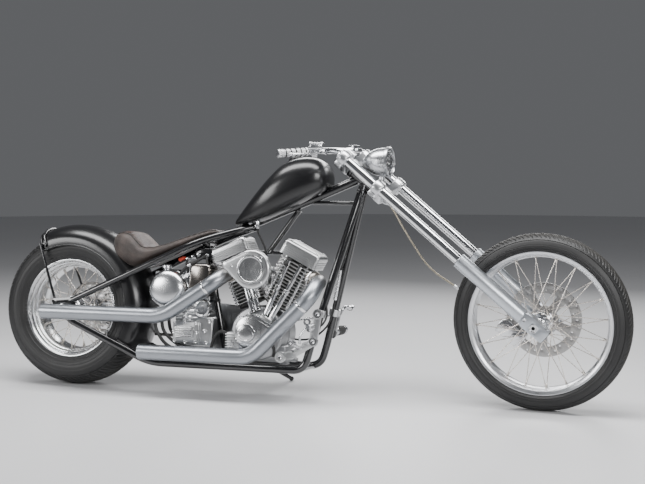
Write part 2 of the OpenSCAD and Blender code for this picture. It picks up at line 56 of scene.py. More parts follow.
def placed(x, y, z):
    return Matrix.Translation((x, y, z))


def standing(ahead, left, up, origin):
    """The place whose three axes and origin these are, for a piece drawn in millimetres."""
    turned = Matrix((ahead, left, up)).transposed().to_4x4()
    return Matrix.Translation(origin) @ turned @ Matrix.Scale(0.001, 4)


across = Vector(joints["rear_wheel_spin"]["axis"]).normalized()
ahead = -Vector(mounts["upper_exhaust_outlet"]["axis"])
up = ahead.cross(across).normalized()
rear_axle = Vector(joints["rear_wheel_spin"]["pos_m"])
BIKE = standing(across.cross(up), across, up, rear_axle - up * REAR_R / 1000)

up_fork = Vector(joints["steering"]["axis"]).normalized()
fork_across = Vector(joints["front_wheel_spin"]["axis"])
fork_ahead = fork_across.cross(up_fork).normalized()
front_axle = Vector(joints["front_wheel_spin"]["pos_m"])
FORK = standing(fork_ahead, up_fork.cross(fork_ahead), up_fork, front_axle)
STEERED = FORK @ Matrix.Rotation(RAKE, 4, "Y") @ placed(-WHEELBASE, 0, -FRONT_R)

# ---------- Camera, lights and floor ----------
# Sixteen degrees to the front of square on, a little above the tank, with a long lens. One broad light
# hangs over the bike, two stand to the sides, and the floor is one plain pale sheet.
VIEW_TURN = radians(16.38)
VIEW_DOWN = radians(4.17)
camera_data = bpy.data.cameras.new("camera")
camera_data.lens = 60.7
camera_data.sensor_width = 36
camera = bpy.data.objects.new("camera", camera_data)
camera.location = (1.361, -4.325, 0.966)
camera.rotation_euler = (pi / 2 - VIEW_DOWN, 0, VIEW_TURN)
bpy.context.scene.collection.objects.link(camera)
bpy.context.scene.camera = camera


def soft_light(name, size, watts, place, target):
    lamp = bpy.data.lights.new(name, "AREA")
    lamp.shape = "RECTANGLE"
    lamp.size, lamp.size_y = size
    lamp.energy = watts
    thing = bpy.data.objects.new(name, lamp)
    thing.location = place
    thing.rotation_euler = (Vector(target) - Vector(place)).to_track_quat("-Z", "Y").to_euler()
    bpy.context.scene.collection.objects.link(thing)


soft_light("overhead", (4.2, 1.1), 210, (0.0, -0.5, 3.0), (0, 0, 0.3))
soft_light("front_side", (2.6, 1.0), 120, (3.4, -3.2, 1.9), (0.4, 0, 0.5))
soft_light("rear_side", (2.0, 1.2), 90, (-3.2, -3.0, 1.7), (-0.5, 0, 0.4))
soft_light("behind", (3.6, 0.9), 90, (0.2, 3.2, 2.2), (0, 0, 0.5))

STUDIO_GREY, STUDIO_STRENGTH = (0.2, 0.205, 0.215, 1), 0.6
world = bpy.data.worlds.new("studio")
world.use_nodes = True
backdrop = world.node_tree.nodes["Background"].inputs
backdrop["Color"].default_value = STUDIO_GREY
backdrop["Strength"].default_value = STUDIO_STRENGTH
bpy.context.scene.world = world


class Wire:
    """A socket of a finish's shader nodes, so that sums on sockets are written as sums."""

    def __init__(self, tree, socket):
        self.tree = tree
        self.socket = socket

    def node(self, kind, settings=None, inputs=None, out=0):
        """Adds a node: its settings first, then the values or wires of its sockets."""
        made = self.tree.nodes.new("ShaderNode" + kind)
        for key, value in (settings or {}).items():
            setattr(made, key, value)
        for key, value in (inputs or {}).items():
            if isinstance(value, Wire):
                self.tree.links.new(value.socket, made.inputs[key])
            else:
                made.inputs[key].default_value = value
        return Wire(self.tree, made.outputs[out])

    def sum(self, operation, first, second=0.0):
        return self.node("Math", {"operation": operation}, {0: first, 1: second})

    def __add__(self, other):
        return self.sum("ADD", self, other)

    __radd__ = __add__

    def __sub__(self, other):
        return self.sum("SUBTRACT", self, other)

    def __rsub__(self, other):
        return self.sum("SUBTRACT", other, self)

    def __mul__(self, other):
        return self.sum("MULTIPLY", self, other)

    __rmul__ = __mul__

    def __pow__(self, other):
        return self.sum("POWER", self, other)

    def sine(self):
        return self.sum("SINE", self)

    def noise(self, scale, detail=2.0, rough=0.5):
        return self.node("TexNoise", None,
                         {"Vector": self, "Scale": scale, "Detail": detail, "Roughness": rough})

    def stretched(self, x, y, z):
        """The same spot with each of its axes scaled, which draws a pattern out along the others."""
        return self.node("VectorMath", {"operation": "MULTIPLY"}, {0: self, 1: (x, y, z)})

    def step(self, low, high):
        """0 below low, 1 above high, and smooth between them."""
        return self.node("MapRange", {"interpolation_type": "SMOOTHSTEP"},
                         {"Value": self, 1: low, 2: high})

    def tint(self, dark, light):
        """From the dark colour to the light one, as this goes from 0 to 1."""
        colours = {0: self, 6: (*dark, 1), 7: (*light, 1)}
        return self.node("Mix", {"data_type": "RGBA"}, colours, out=2)

    def over(self, under, colour):
        """A colour laid over another where this is 1."""
        under, colour = ((*c, 1) if isinstance(c, tuple) else c for c in (under, colour))
        return self.node("Mix", {"data_type": "RGBA"}, {0: self, 6: under, 7: colour}, out=2)

    def bump(self, depth):
        """Relief of this height, in metres."""
        return self.node("Bump", None, {"Height": self, "Distance": depth})

    def seen_from(self, place):
        """The spot measured in a piece's own place, in millimetres."""
        shift, turn, scale = place.decompose()
        mapped = {"Vector": self, "Location": shift, "Rotation": turn.to_euler(), "Scale": scale}
        return self.node("Mapping", {"vector_type": "TEXTURE"}, mapped)

    def parts(self):
        made = self.tree.nodes.new("ShaderNodeSeparateXYZ")
        self.tree.links.new(self.socket, made.inputs[0])
        return [Wire(self.tree, socket) for socket in made.outputs]


def finish(name, look, **plain):
    """A finish: its look gives what varies over the surface, and plain values are the same all over."""
    material = bpy.data.materials.new(name)
    material.use_nodes = True
    tree = material.node_tree
    shader = tree.nodes["Principled BSDF"]
    for socket, value in plain.items():
        shader.inputs[socket.replace("_", " ")].default_value = value
    spot = Wire(tree, tree.nodes.new("ShaderNodeTexCoord").outputs["Object"])
    for socket, wire in look(spot).items():
        tree.links.new(wire.socket, shader.inputs[socket])
    return material


def floor_look(spot):
    cloud = spot.noise(0.9, 3)
    return {"Base Color": cloud.tint((0.60, 0.60, 0.61), (0.66, 0.66, 0.67)),
            "Roughness": 0.42 + 0.1 * cloud}


floor_mesh = bpy.data.meshes.new("floor")
floor_shape = bmesh.new()
bmesh.ops.create_circle(floor_shape, cap_ends=True, segments=96, radius=16)
floor_shape.to_mesh(floor_mesh)
floor_shape.free()
floor_mesh.materials.append(finish("pale_floor", floor_look))
floor = bpy.data.objects.new("floor", floor_mesh)
bpy.context.scene.collection.objects.link(floor)

# ---------- Frame ----------
# A rigid cradle of bent steel tube, brazed at the neck and the axle plates and sprayed in gloss black:
# two tubes run down from the neck and back under the engine, two carry the seat, and one holds the tank.


def rod(start, end, radius, far=None, sides=28, edge=0.0):
    """A round bar from one point to another, whose far end may be of another radius."""
    shape = bmesh.new()
    line = Vector(end) - Vector(start)
    far = radius if far is None else far
    bmesh.ops.create_cone(
        shape, cap_ends=True, segments=sides, radius1=radius, radius2=far, depth=line.length
    )
    if edge:
        rims = [e for e in shape.edges if any(len(f.verts) == sides for f in e.link_faces)]
        bmesh.ops.bevel(
            shape, geom=rims, offset=edge, segments=3, profile=0.5, affect="EDGES", material=-1
        )
    turned = line.to_track_quat("Z", "Y").to_matrix().to_4x4()
    shape.transform(Matrix.Translation((Vector(start) + Vector(end)) / 2) @ turned)
    return shape


def block(low, high, edge=2.0, segments=3):
    """A block between two corners, with rounded edges."""
    shape = bmesh.new()
    bmesh.ops.create_cube(shape, size=1)
    size = Vector(high) - Vector(low)
    bmesh.ops.scale(shape, vec=size, verts=shape.verts)
    bmesh.ops.bevel(
        shape, geom=shape.edges[:], offset=edge, segments=segments, profile=0.5, affect="EDGES",
        material=-1
    )
    shape.transform(Matrix.Translation((Vector(low) + Vector(high)) / 2))
    return shape


def bent(points, radius, steps=8, closed=False):
    """The same corners, each turned into a smooth bend that starts its radius before the corner."""
    corners = [Vector(p) for p in points]
    if closed:
        corners = [corners[-1], *corners, corners[0]]
    route = [] if closed else [corners[0]]
    for before, corner, after in zip(corners, corners[1:], corners[2:]):
        reach = min(radius, (before - corner).length * 0.48, (after - corner).length * 0.48)
        start = corner + (before - corner).normalized() * reach
        end = corner + (after - corner).normalized() * reach
        for step in range(steps + 1):
            part = step / steps
            route.append(start.lerp(corner, part).lerp(corner.lerp(end, part), part))
    return route if closed else [*route, corners[-1]]


def pipe(route, radius, sides=24):
    """A tube along a route: one ring is drawn out from point to point, and turned along the way."""
    points = [Vector(p) for p in route]
    radii = radius if isinstance(radius, list) else [radius] * len(points)
    shape = bmesh.new()
    ring = bmesh.ops.create_circle(shape, cap_ends=False, segments=sides, radius=1)["verts"]
    edges = shape.edges[:]
    heading, turn, last = Vector((0, 0, 1)), Matrix.Identity(3), Matrix.Identity(4)
    for index, point in enumerate(points):
        along = (points[min(index + 1, len(points) - 1)] - points[max(index - 1, 0)]).normalized()
        turn = heading.rotation_difference(along).to_matrix() @ turn
        heading = along
        place = Matrix.Translation(point) @ turn.to_4x4() @ Matrix.Scale(radii[index], 4)
        if index:
            drawn = bmesh.ops.extrude_edge_only(shape, edges=edges)["geom"]
            ring = [g for g in drawn if isinstance(g, bmesh.types.BMVert)]
            edges = [g for g in drawn if isinstance(g, bmesh.types.BMEdge)]
        bmesh.ops.transform(shape, matrix=place @ last.inverted(), verts=ring)
        last = place
    bmesh.ops.holes_fill(shape, edges=[e for e in shape.edges if e.is_boundary], sides=0)
    bmesh.ops.recalc_face_normals(shape, faces=shape.faces)
    return shape


def turned(profile, steps=96, closed=False, arc=tau):
    """A shape turned on a lathe: the profile's points are its radius and its place along z."""
    shape = bmesh.new()
    verts = [shape.verts.new((radius, 0, along)) for radius, along in profile]
    edges = [shape.edges.new(pair) for pair in zip(verts, verts[1:])]
    if closed:
        edges.append(shape.edges.new((verts[-1], verts[0])))
    bmesh.ops.spin(
        shape, geom=verts + edges, cent=(0, 0, 0), axis=(0, 0, 1), dvec=(0, 0, 0), angle=arc, steps=steps,
        use_merge=arc == tau,
    )
    bmesh.ops.remove_doubles(shape, verts=shape.verts, dist=0.001)
    bmesh.ops.recalc_face_normals(shape, faces=shape.faces)
    return shape


def ring_of(x, y, radius, sides=24):
    """A round outline."""
    return [(x + radius * cos(tau * k / sides), y + radius * sin(tau * k / sides)) for k in range(sides)]


def plate(outlines, thick, edge=1.0):
    """A flat plate on z = 0, cut to its first outline with the other outlines as its holes."""
    shape = bmesh.new()
    for outline in outlines:
        verts = [shape.verts.new((p[0], p[1], 0)) for p in outline]
        for pair in zip(verts, verts[1:] + verts[:1]):
            shape.edges.new(pair)
    bmesh.ops.triangle_fill(shape, edges=shape.edges[:], use_beauty=True, use_dissolve=False)
    drawn = bmesh.ops.extrude_face_region(shape, geom=shape.faces[:])["geom"]
    top = [g for g in drawn if isinstance(g, bmesh.types.BMVert)]
    bmesh.ops.translate(shape, vec=(0, 0, thick), verts=top)
    bmesh.ops.recalc_face_normals(shape, faces=shape.faces)
    if edge:
        level = [e for e in shape.edges if e.verts[0].co.z == e.verts[1].co.z]
        rims = [e for e in level if abs(e.calc_face_angle(0) - pi / 2) < 0.1]
        bmesh.ops.bevel(shape, geom=rims, offset=edge, segments=2, profile=0.5, affect="EDGES",
                        material=-1)
    return shape


def to_left(x, y, z):
    """The place of a shape whose z is turned to the left, and whose y is turned down."""
    return placed(x, y, z) @ Matrix.Rotation(-pi / 2, 4, "X")


def to_right(x, y, z):
    """The place of a shape whose z is turned to the right, and whose y is turned up."""
    return placed(x, y, z) @ Matrix.Rotation(pi / 2, 4, "X")


def facing(point, direction):
    """The place of a shape whose z is turned to a direction."""
    return Matrix.Translation(point) @ Vector(direction).to_track_quat("Z", "Y").to_matrix().to_4x4()


def mirrored(point, side):
    return Vector((point[0], point[1] * side, point[2]))


HERE = Matrix.Identity(4)


class Piece:
    """A piece being put together from shapes, each in its own finish."""

    def __init__(self, place):
        self.whole = bmesh.new()
        self.place = place
        self.finishes = []

    def add(self, shape, look, *places):
        """Puts a shape in, once at each place."""
        if look not in self.finishes:
            self.finishes.append(look)
        for face in shape.faces:
            face.material_index = self.finishes.index(look)
        for place in places or (HERE,):
            one = shape.copy()
            one.transform(place)
            if place.determinant() < 0:
                bmesh.ops.reverse_faces(one, faces=one.faces)
            part = bpy.data.meshes.new("part")
            one.to_mesh(part)
            self.whole.from_mesh(part)
            one.free()
            bpy.data.meshes.remove(part)
        shape.free()

    def done(self, name, body, slot, *stands_for, crease=32):
        """Places the piece where the bike stands, on its body."""
        mesh = bpy.data.meshes.new(name)
        self.whole.transform(self.place)
        self.whole.to_mesh(mesh)
        self.whole.free()
        for look in self.finishes:
            mesh.materials.append(look)
        mesh.shade_smooth()
        mesh.set_sharp_from_angle(angle=radians(crease))
        thing = bpy.data.objects.new(name, mesh)
        bpy.context.scene.collection.objects.link(thing)
        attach(thing, body)
        if stands_for:
            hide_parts(*stands_for)
        return thing


def frame_paint_look(spot):
    orange_peel = spot.noise(900, 2)
    dust = spot.noise(60, 4, 0.7).step(0.55, 0.8)
    return {
        "Base Color": dust.tint((0.006, 0.006, 0.007), (0.018, 0.018, 0.019)),
        "Roughness": 0.16 + 0.14 * dust,
        "Normal": orange_peel.bump(0.00002),
    }


frame_paint = finish("frame_paint", frame_paint_look, Coat_Weight=0.8, Coat_Roughness=0.06, IOR=1.5)

RAIL_R = 15.9
RAIL_Y, RAIL_Z = 122, 120
PLATE_Y = 142
NECK_TOP, NECK_FOOT, STEM_BACK = 977, 833, 45
DOWN_TOP, DOWN_FOOT = Vector((1278, 18, 876)), Vector((1104, RAIL_Y, 218))
SEAT_RAIL = [(40, PLATE_Y, 368), (330, 128, 505), (600, 108, 632), (748, 50, 680), (806, 19, 696)]
SPINE = [(1254, 0, 900), (1110, 0, 838), (760, 0, 693)]
NECK = (
    placed(WHEELBASE, 0, FRONT_R) @ Matrix.Rotation(-RAKE, 4, "Y")
    @ placed(-STEM_BACK, 0, 0)
)


def weld(point, direction, radius):
    """A brazed fillet round a tube where it meets another."""
    bead = [(radius - 1, -7), (radius + 3.5, -5), (radius + 1.6, -1), (radius + 0.5, 5), (radius - 1, 7)]
    return bead, facing(point, direction)


cradle = Piece(BIKE)
cradle.add(turned(
    [(19.6, NECK_FOOT), (33, NECK_FOOT), (33.4, NECK_FOOT + 1), (33.4, NECK_FOOT + 14),
     (32, NECK_FOOT + 16),
     (28, NECK_FOOT + 18), (28, NECK_TOP - 18), (32, NECK_TOP - 16), (33.4, NECK_TOP - 14),
     (33.4, NECK_TOP - 1), (33, NECK_TOP), (19.6, NECK_TOP)], closed=True), frame_paint, NECK)
cradle.add(pipe(bent(SPINE, 120), 18, 32), frame_paint)
for side in (-1, 1):
    rail = [mirrored(DOWN_FOOT, side), (1078, side * RAIL_Y, RAIL_Z), (398, side * RAIL_Y, RAIL_Z),
            (38, side * PLATE_Y, 282)]
    down = [mirrored(DOWN_TOP, side), *bent(rail, 60, 12)]
    cradle.add(pipe(down, RAIL_R, 32), frame_paint)
    cradle.add(pipe(bent([mirrored(p, side) for p in SEAT_RAIL], 90, 10), 14, 32), frame_paint)
    seam, place = weld(mirrored(DOWN_TOP, side) - Vector((6, -6 * side, 24)), DOWN_TOP - DOWN_FOOT,
                       RAIL_R)
    cradle.add(turned(seam, 40), frame_paint, place)
for x in (1046, 704, 440):
    cradle.add(rod((x, -RAIL_Y, RAIL_Z), (x, RAIL_Y, RAIL_Z), 12), frame_paint)
for start, end, radius in (
    ((590, -91, 628), (590, 91, 628), 11), ((704, 0, RAIL_Z), (592, 0, 628), 14),
    ((1004, 0, 774), (874, 0, 592), 11), ((814, 0, 592), (933, 0, 592), 8),
    ((1040, 0, 803), (1258, 0, 803), 8),
    ((1258, -11, 803), (1258, 11, 803), 8),
):
    cradle.add(rod(start, end, radius), frame_paint)
    for point, away in ((start, end), (end, start)):
        seam, place = weld(Vector(point).lerp(Vector(away), 0.04), Vector(away) - Vector(point), radius)
        cradle.add(turned(seam, 32), frame_paint, place)
cradle.done("frame_tubes", "frame", "black_paint", "frame_neck", "backbone", "downtubes", "lower_rails",
            "seat_rails", "cross_tubes")

# ---------- Tyres ----------
# Black rubber, moulded with ribs round the walls and a tread of slanted grooves. The front one is narrow
# and tall, and the rear one is fat. Each groove is a row of the mesh pushed in, so its edges are crisp.
FRONT_WHEEL = FORK @ to_left(0, 0, 0)
REAR_WHEEL = BIKE @ to_left(0, 0, REAR_R)


def rubber_look(place, crown):
    """Rubber that is greyer and scuffed on the tread, and clean with a faint bloom on the walls."""

    def look(spot):
        x, y, z = spot.seen_from(place).parts()
        from_axle = (x * x + y * y) ** 0.5
        worn = from_axle.step(crown - 13, crown - 2)
        mottle = spot.noise(38, 4, 0.6)
        bloom = spot.noise(9, 3).step(0.35, 0.75)
        turned_lines = from_axle.node("TexNoise", {"noise_dimensions": "1D"},
                                      {"W": from_axle * 1.1, "Scale": 1.0})
        walls = (0.6 * bloom + 0.4 * turned_lines).tint((0.005, 0.005, 0.0055), (0.015, 0.0148, 0.0145))
        road = mottle.tint((0.010, 0.0095, 0.009), (0.032, 0.030, 0.027))
        return {
            "Base Color": worn.over(walls, road),
            "Roughness": 0.44 + 0.2 * worn + 0.12 * mottle,
            "Normal": spot.noise(700, 3, 0.6).bump(0.00008),
        }

    return look


def smooth_through(points, steps):
    """A smooth outline through some points."""
    path = []
    ends = [points[0], *points, points[-1]]
    for a, b, c, d in zip(ends, ends[1:], ends[2:], ends[3:]):
        for step in range(steps):
            t = step / steps
            path.append(tuple(
                0.5 * (2 * q + (r - p) * t + (2 * p - 5 * q + 4 * r - s) * t * t
                       + (3 * q - p - 3 * r + s) * t ** 3)
                for p, q, r, s in zip(a, b, c, d)
            ))
    return [*path, points[-1]]


def copied_round(sector, count):
    """A whole turn made of equal sectors, joined where they meet."""
    whole = bmesh.new()
    part = bpy.data.meshes.new("part")
    for k in range(count):
        one = sector.copy()
        one.transform(Matrix.Rotation(tau * k / count, 4, "Z"))
        one.to_mesh(part)
        whole.from_mesh(part)
        one.free()
    sector.free()
    bpy.data.meshes.remove(part)
    bmesh.ops.remove_doubles(whole, verts=whole.verts, dist=0.01)
    bmesh.ops.recalc_face_normals(whole, faces=whole.faces)
    return whole


def tyre(half_outline, pitches, tread_half, depth, lean):
    """A tyre from its crown to one bead, both sides alike. lean slants the grooves, in pitches."""
    rows = 14
    outline = smooth_through(half_outline, 9)
    profile = [(radius, -along) for radius, along in reversed(outline[1:])] + outline
    pitch = tau / pitches
    sector = turned(profile, rows, arc=pitch)
    shape = copied_round(sector, pitches)
    for vert in shape.verts:
        x, y, along = vert.co
        radius, angle = hypot(x, y), atan2(y, x)
        reach = min(abs(along) / tread_half, 1.4)
        row = round(angle / pitch * rows) % rows
        push = 0.0
        if reach < 1:
            is_slant = row in (0, 1, 2) and 0.22 < reach < 0.93
            is_slant = is_slant or (row in (7, 8) and 0.45 < reach < 0.98)
            if is_slant or abs(reach - 0.13) < 0.035:
                push = depth * min(1, (1 - reach) * 6)
        side = 1 if along > 0 else -1
        slide = pitch * (lean * reach + side * 0.25 * min(1, abs(along) / (0.15 * tread_half)))
        radius -= push
        vert.co = (radius * cos(angle + slide), radius * sin(angle + slide), along)
    return shape


def ribbed(points, ribs, height):
    """The same outline with raised ribs at some radii."""
    outline = [points[0]]
    for point, after in zip(points[1:], [*points[2:], points[-1]]):
        outline.append(point)
    for rib in ribs:
        for index, (a, b) in enumerate(zip(outline, outline[1:])):
            if a[0] >= rib > b[0]:
                part = (a[0] - rib) / (a[0] - b[0])
                along = a[1] + (b[1] - a[1]) * part
                outline[index + 1:index + 1] = [(rib + 1.6, along), (rib + 0.5, along + height),
                                               (rib - 0.9, along + height), (rib - 1.9, along)]
                break
    return outline


front_outline = ribbed(
    [(348, 0), (347.2, 10), (344.3, 21), (339.5, 31.5), (332, 41), (322, 49), (310, 55), (298, 57.5),
     (289, 54),
     (283, 47), (281, 41), (274, 38)], (326, 304, 291), 0.9)
rear_outline = ribbed(
    [(332.5, 0), (331.6, 15), (329, 32), (324.5, 50), (317, 66), (306, 81), (293, 92), (277, 99.6),
     (259, 100),
     (240, 97.5), (224, 91), (214, 85.5), (211.8, 81), (203, 78)], (300, 272, 247, 228), 1.2)
front_rubber = finish("front_rubber", rubber_look(FRONT_WHEEL, FRONT_R), IOR=1.5)
rear_rubber = finish("rear_rubber", rubber_look(REAR_WHEEL, REAR_R), IOR=1.5)
front_tyre = Piece(FRONT_WHEEL)
front_tyre.add(tyre(front_outline, 62, 42, 3.2, 1.1), front_rubber)
front_tyre.done("front_tyre_tread", "front_wheel", "tyre_rubber", "front_tyre", crease=28)
rear_tyre = Piece(REAR_WHEEL)
rear_tyre.add(tyre(rear_outline, 46, 94, 5.5, 1.5), rear_rubber)
rear_tyre.done("rear_tyre_tread", "rear_wheel", "tyre_rubber", "rear_tyre", crease=28)

# ---------- Rims ----------
# Rolled aluminium, turned and polished: a slim flat-faced front rim, and a deep stepped rear one. Their
# spokes pull on dimples in the bed, each under a round nipple.


def turned_metal_look(place, light, gloss, marks):
    """Metal turned on a lathe: fine rings round the axle, and soft clouding."""

    def look(spot):
        x, y, z = spot.seen_from(place).parts()
        from_axle = (x * x + y * y) ** 0.5
        lathe = from_axle.node(
            "TexNoise", {"noise_dimensions": "1D"},
            {"W": from_axle * 2.2 + z * 1.7, "Scale": 1.0, "Detail": 3.0}
        )
        cloud = spot.noise(26, 4, 0.6)
        grey = tuple(part * 0.78 for part in light)
        return {
            "Base Color": (0.55 * cloud + 0.45 * lathe).tint(grey, light),
            "Roughness": gloss + 0.14 * cloud + 0.08 * lathe,
            "Normal": lathe.bump(marks),
        }

    return look


def rim(half_profile):
    """A rim from its half profile, given from the bead seat round the lip to the middle of the bed."""
    return turned([*half_profile, *[(radius, -along) for radius, along in reversed(half_profile)]], 144,
                  closed=True)


front_rim_metal = finish(
    "front_rim_metal", turned_metal_look(FRONT_WHEEL, (0.76, 0.77, 0.79), 0.20, 0.00003), Metallic=1.0)
rear_rim_metal = finish(
    "rear_rim_metal", turned_metal_look(REAR_WHEEL, (0.80, 0.81, 0.82), 0.09, 0.00003), Metallic=1.0)
front_rim_half = bent(
    [(262, 15), (267, 28), (269, 36), (279.5, 38.5), (282, 40), (281.5, 43), (278, 43.4), (272, 41.5),
     (264, 37), (261.5, 33.5), (260.5, 29), (257, 17.5), (255.5, 6)], 2.0, 4)
rear_rim_half = bent(
    [(180, 29), (197, 70), (199, 78), (208, 80), (211.5, 81.5), (212.5, 85), (209.5, 87), (205, 85.5),
     (200, 79), (198.5, 73), (193, 70.5), (188, 63), (186.5, 55), (183.5, 52.5), (178.5, 45),
     (176, 33), (174, 12)], 2.4, 4)
front_rim = Piece(FRONT_WHEEL)
front_rim.add(rim(front_rim_half), front_rim_metal)
rear_rim = Piece(REAR_WHEEL)
rear_rim.add(rim(rear_rim_half), rear_rim_metal)

# ---------- Hubs, spokes and nipples ----------
# Turned aluminium hubs with a drilled flange at each side. Stainless spokes hook through the flanges, cross
# each other and screw into brass-seated nipples in the rim.
SPOKES = 40


def spoke_look(spot):
    streak = spot.noise(120, 2)
    return {"Base Color": streak.tint((0.62, 0.57, 0.52), (0.84, 0.79, 0.73)),
            "Roughness": 0.2 + 0.15 * streak}


def bright_look(spot):
    haze = spot.noise(45, 4, 0.65)
    return {
        "Base Color": haze.tint((0.66, 0.67, 0.69), (0.86, 0.86, 0.87)),
        "Roughness": 0.12 + 0.16 * haze,
        "Normal": spot.noise(420, 2).bump(0.00002),
    }


spoke_steel = finish("spoke_steel", spoke_look, Metallic=1.0)
bright_alloy = finish("bright_alloy", bright_look, Metallic=1.0)


def lace(piece, flange, flange_r, bed, bed_r, lead):
    """Crossed spokes from both flanges to the bed, each with its hooked head and its nipple."""
    groups = SPOKES // 4
    for side in (-1, 1):
        for group in range(groups):
            for way in (-1, 1):
                at_rim = (group + (side + 1) / 4) * tau / groups + way * tau / 4 / groups
                at_hub = at_rim - way * lead
                inner = Vector((flange_r * cos(at_hub), flange_r * sin(at_hub),
                                side * (flange + way * 3.6)))
                outer = Vector((bed_r * cos(at_rim), bed_r * sin(at_rim), side * bed))
                line = (outer - inner).normalized()
                piece.add(rod(inner, outer, 1.6, sides=10), spoke_steel)
                piece.add(rod(outer - line * 15, outer - line * 2, 2.9, 3.3, 10, 0.5), spoke_steel)
                piece.add(rod(inner - line * 3, inner + line * 5, 2.6, 1.8, 10, 0.4), spoke_steel)
                hook = Vector((0, 0, side * way * 1.0))
                piece.add(rod(inner - hook * 6, inner + hook * 2.4, 2.4, sides=10, edge=0.5), spoke_steel)


def bolts(shape_r, head_r, height, count, at, offset=0.0):
    """The places of bolts round a circle, at a height along z."""
    return [
        placed(shape_r * cos(a), shape_r * sin(a), at)
        for a in (tau * (k + offset) / count for k in range(count))
    ]


def bolt_head(radius, height, sides=6):
    """A bolt head standing on z = 0, on its washer."""
    shape = rod((0, 0, 0), (0, 0, height), radius, sides=sides, edge=radius * 0.12)
    washer = rod((0, 0, -0.2), (0, 0, height * 0.28), radius * 1.32, sides=20, edge=0.3)
    part = bpy.data.meshes.new("part")
    washer.to_mesh(part)
    washer.free()
    shape.from_mesh(part)
    bpy.data.meshes.remove(part)
    return shape


def cap_screw(radius, height):
    """A round screw head with a socket in its top, standing on z = 0."""
    shape = rod((0, 0, 0), (0, 0, height), radius, sides=18, edge=radius * 0.1)
    top = [f for f in shape.faces if f.normal.z > 0.9 and f.calc_center_median().z > height * 0.9]
    bmesh.ops.inset_region(shape, faces=top, thickness=radius * 0.38, use_even_offset=True)
    drawn = bmesh.ops.extrude_discrete_faces(shape, faces=top)["faces"]
    bmesh.ops.translate(shape, vec=(0, 0, -height * 0.5), verts=list({v for f in drawn for v in f.verts}))
    return shape


FLIP = Matrix.Rotation(pi, 4, "X")
front_hub = Piece(FRONT_WHEEL)
front_hub.add(turned(bent(
    [(12.8, -57), (20, -57), (20, -41), (27, -39), (43, -36.5), (43, -30), (30, -26), (24, -14), (24, 14),
     (30, 26),
     (43, 30), (43, 36.5), (35, 39), (35, 57), (33, 59), (12.8, 59)], 2.2, 3, closed=True), 72,
     closed=True),
    bright_alloy)
lace(front_hub, 33, 38, 6, 257, radians(70))
front_hub.add(bolt_head(4, 3.2), bright_alloy, *[FLIP @ m for m in bolts(31, 4, 3, 5, 38.5)])
front_hub.done("front_hub_laced", "front_wheel", "polished_aluminium", "front_hub")
front_rim.done("front_rim_polished", "front_wheel", "polished_aluminium", "front_rim", crease=40)
rear_hub = Piece(REAR_WHEEL)
rear_hub.add(turned(bent(
    [(12.8, -111), (24, -111), (26, -62), (34, -52), (54, -47), (54, -39), (38, -33), (30, -20), (30, 20),
     (38, 33),
     (54, 39), (54, 47), (36, 54), (33, 88), (46, 91), (46, 105.5), (12.8, 105.5)], 3, 3, closed=True),
     72, closed=True),
    bright_alloy)
lace(rear_hub, 43, 47, 8, 175, radians(60))
rear_hub.add(bolt_head(4.5, 3.5), bright_alloy, *[FLIP @ m for m in bolts(37, 4, 3, 5, 53)])
rear_hub.done("rear_hub_laced", "rear_wheel", "polished_aluminium", "rear_hub")
rear_rim.done("rear_rim_polished", "rear_wheel", "polished_aluminium", "rear_rim", crease=40)

# ---------- Front brake disc ----------
# A laser-cut stainless disc, drilled all round, with windows between its arms. It is bolted to the hub's
# left side and shows the swirls of its grinding.
DISC_Y = 62


def ground_look(place):
    def look(spot):
        x, y, z = spot.seen_from(place).parts()
        from_axle = (x * x + y * y) ** 0.5
        swirl = from_axle.node("TexNoise", {"noise_dimensions": "1D"},
                               {"W": from_axle * 3.1, "Scale": 1.0})
        wear = spot.noise(70, 3)
        return {
            "Base Color": (0.5 * swirl + 0.5 * wear).tint((0.30, 0.30, 0.30), (0.52, 0.51, 0.50)),
            "Roughness": 0.26 + 0.18 * swirl,
            "Normal": swirl.bump(0.00004),
        }

    return look


ground_steel = finish("ground_steel", ground_look(FRONT_WHEEL), Metallic=1.0)
ARMS = 5
windows = []
for arm in range(ARMS):
    near, far = (arm + 0.16) * tau / ARMS, (arm + 0.84) * tau / ARMS
    outer = [(107 * cos(a), 107 * sin(a)) for a in (near + (far - near) * k / 14 for k in range(15))]
    inner = [(56 * cos(a), 56 * sin(a))
             for a in (far - 0.12 - (far - near - 0.24) * k / 8 for k in range(9))]
    windows.append([tuple(p) for p in bent([(*p, 0) for p in outer + inner], 5, 2, closed=True)])
drilled = [
    ring_of(radius * cos(a), radius * sin(a), 3.4, 12)
    for k in range(30) for radius, a in [((118, 129, 139)[k % 3], tau * k / 30)]
]
disc = Piece(FRONT_WHEEL)
disc.add(plate([ring_of(0, 0, 148, 120), ring_of(0, 0, 24, 40), *windows, *drilled], 5, 0.5),
         ground_steel,
         placed(0, 0, DISC_Y - 2.5))
disc.add(bolt_head(5, 4), bright_alloy, *bolts(42, 5, 4, ARMS, DISC_Y + 2.5))
disc.done("front_disc_drilled", "front_wheel", "brushed_steel", "front_disc")

# ---------- Fork ----------
# Hard-chromed steel tubes run in sliders of brushed aluminium. A slider is a plain turned barrel with a
# squared foot, which is bored for the axle and pinched on it by two screws.
TUBE_R, SLIDER_R = 20.5, 30
LEG_Y = 128.5
SLIDER_TOP, CLAMP_LOW, CLAMP_HIGH = 384, 812, 996


def chrome_look(spot):
    haze = spot.noise(14, 3)
    return {"Base Color": haze.tint((0.74, 0.75, 0.77), (0.88, 0.88, 0.89)),
            "Roughness": 0.03 + 0.05 * haze}


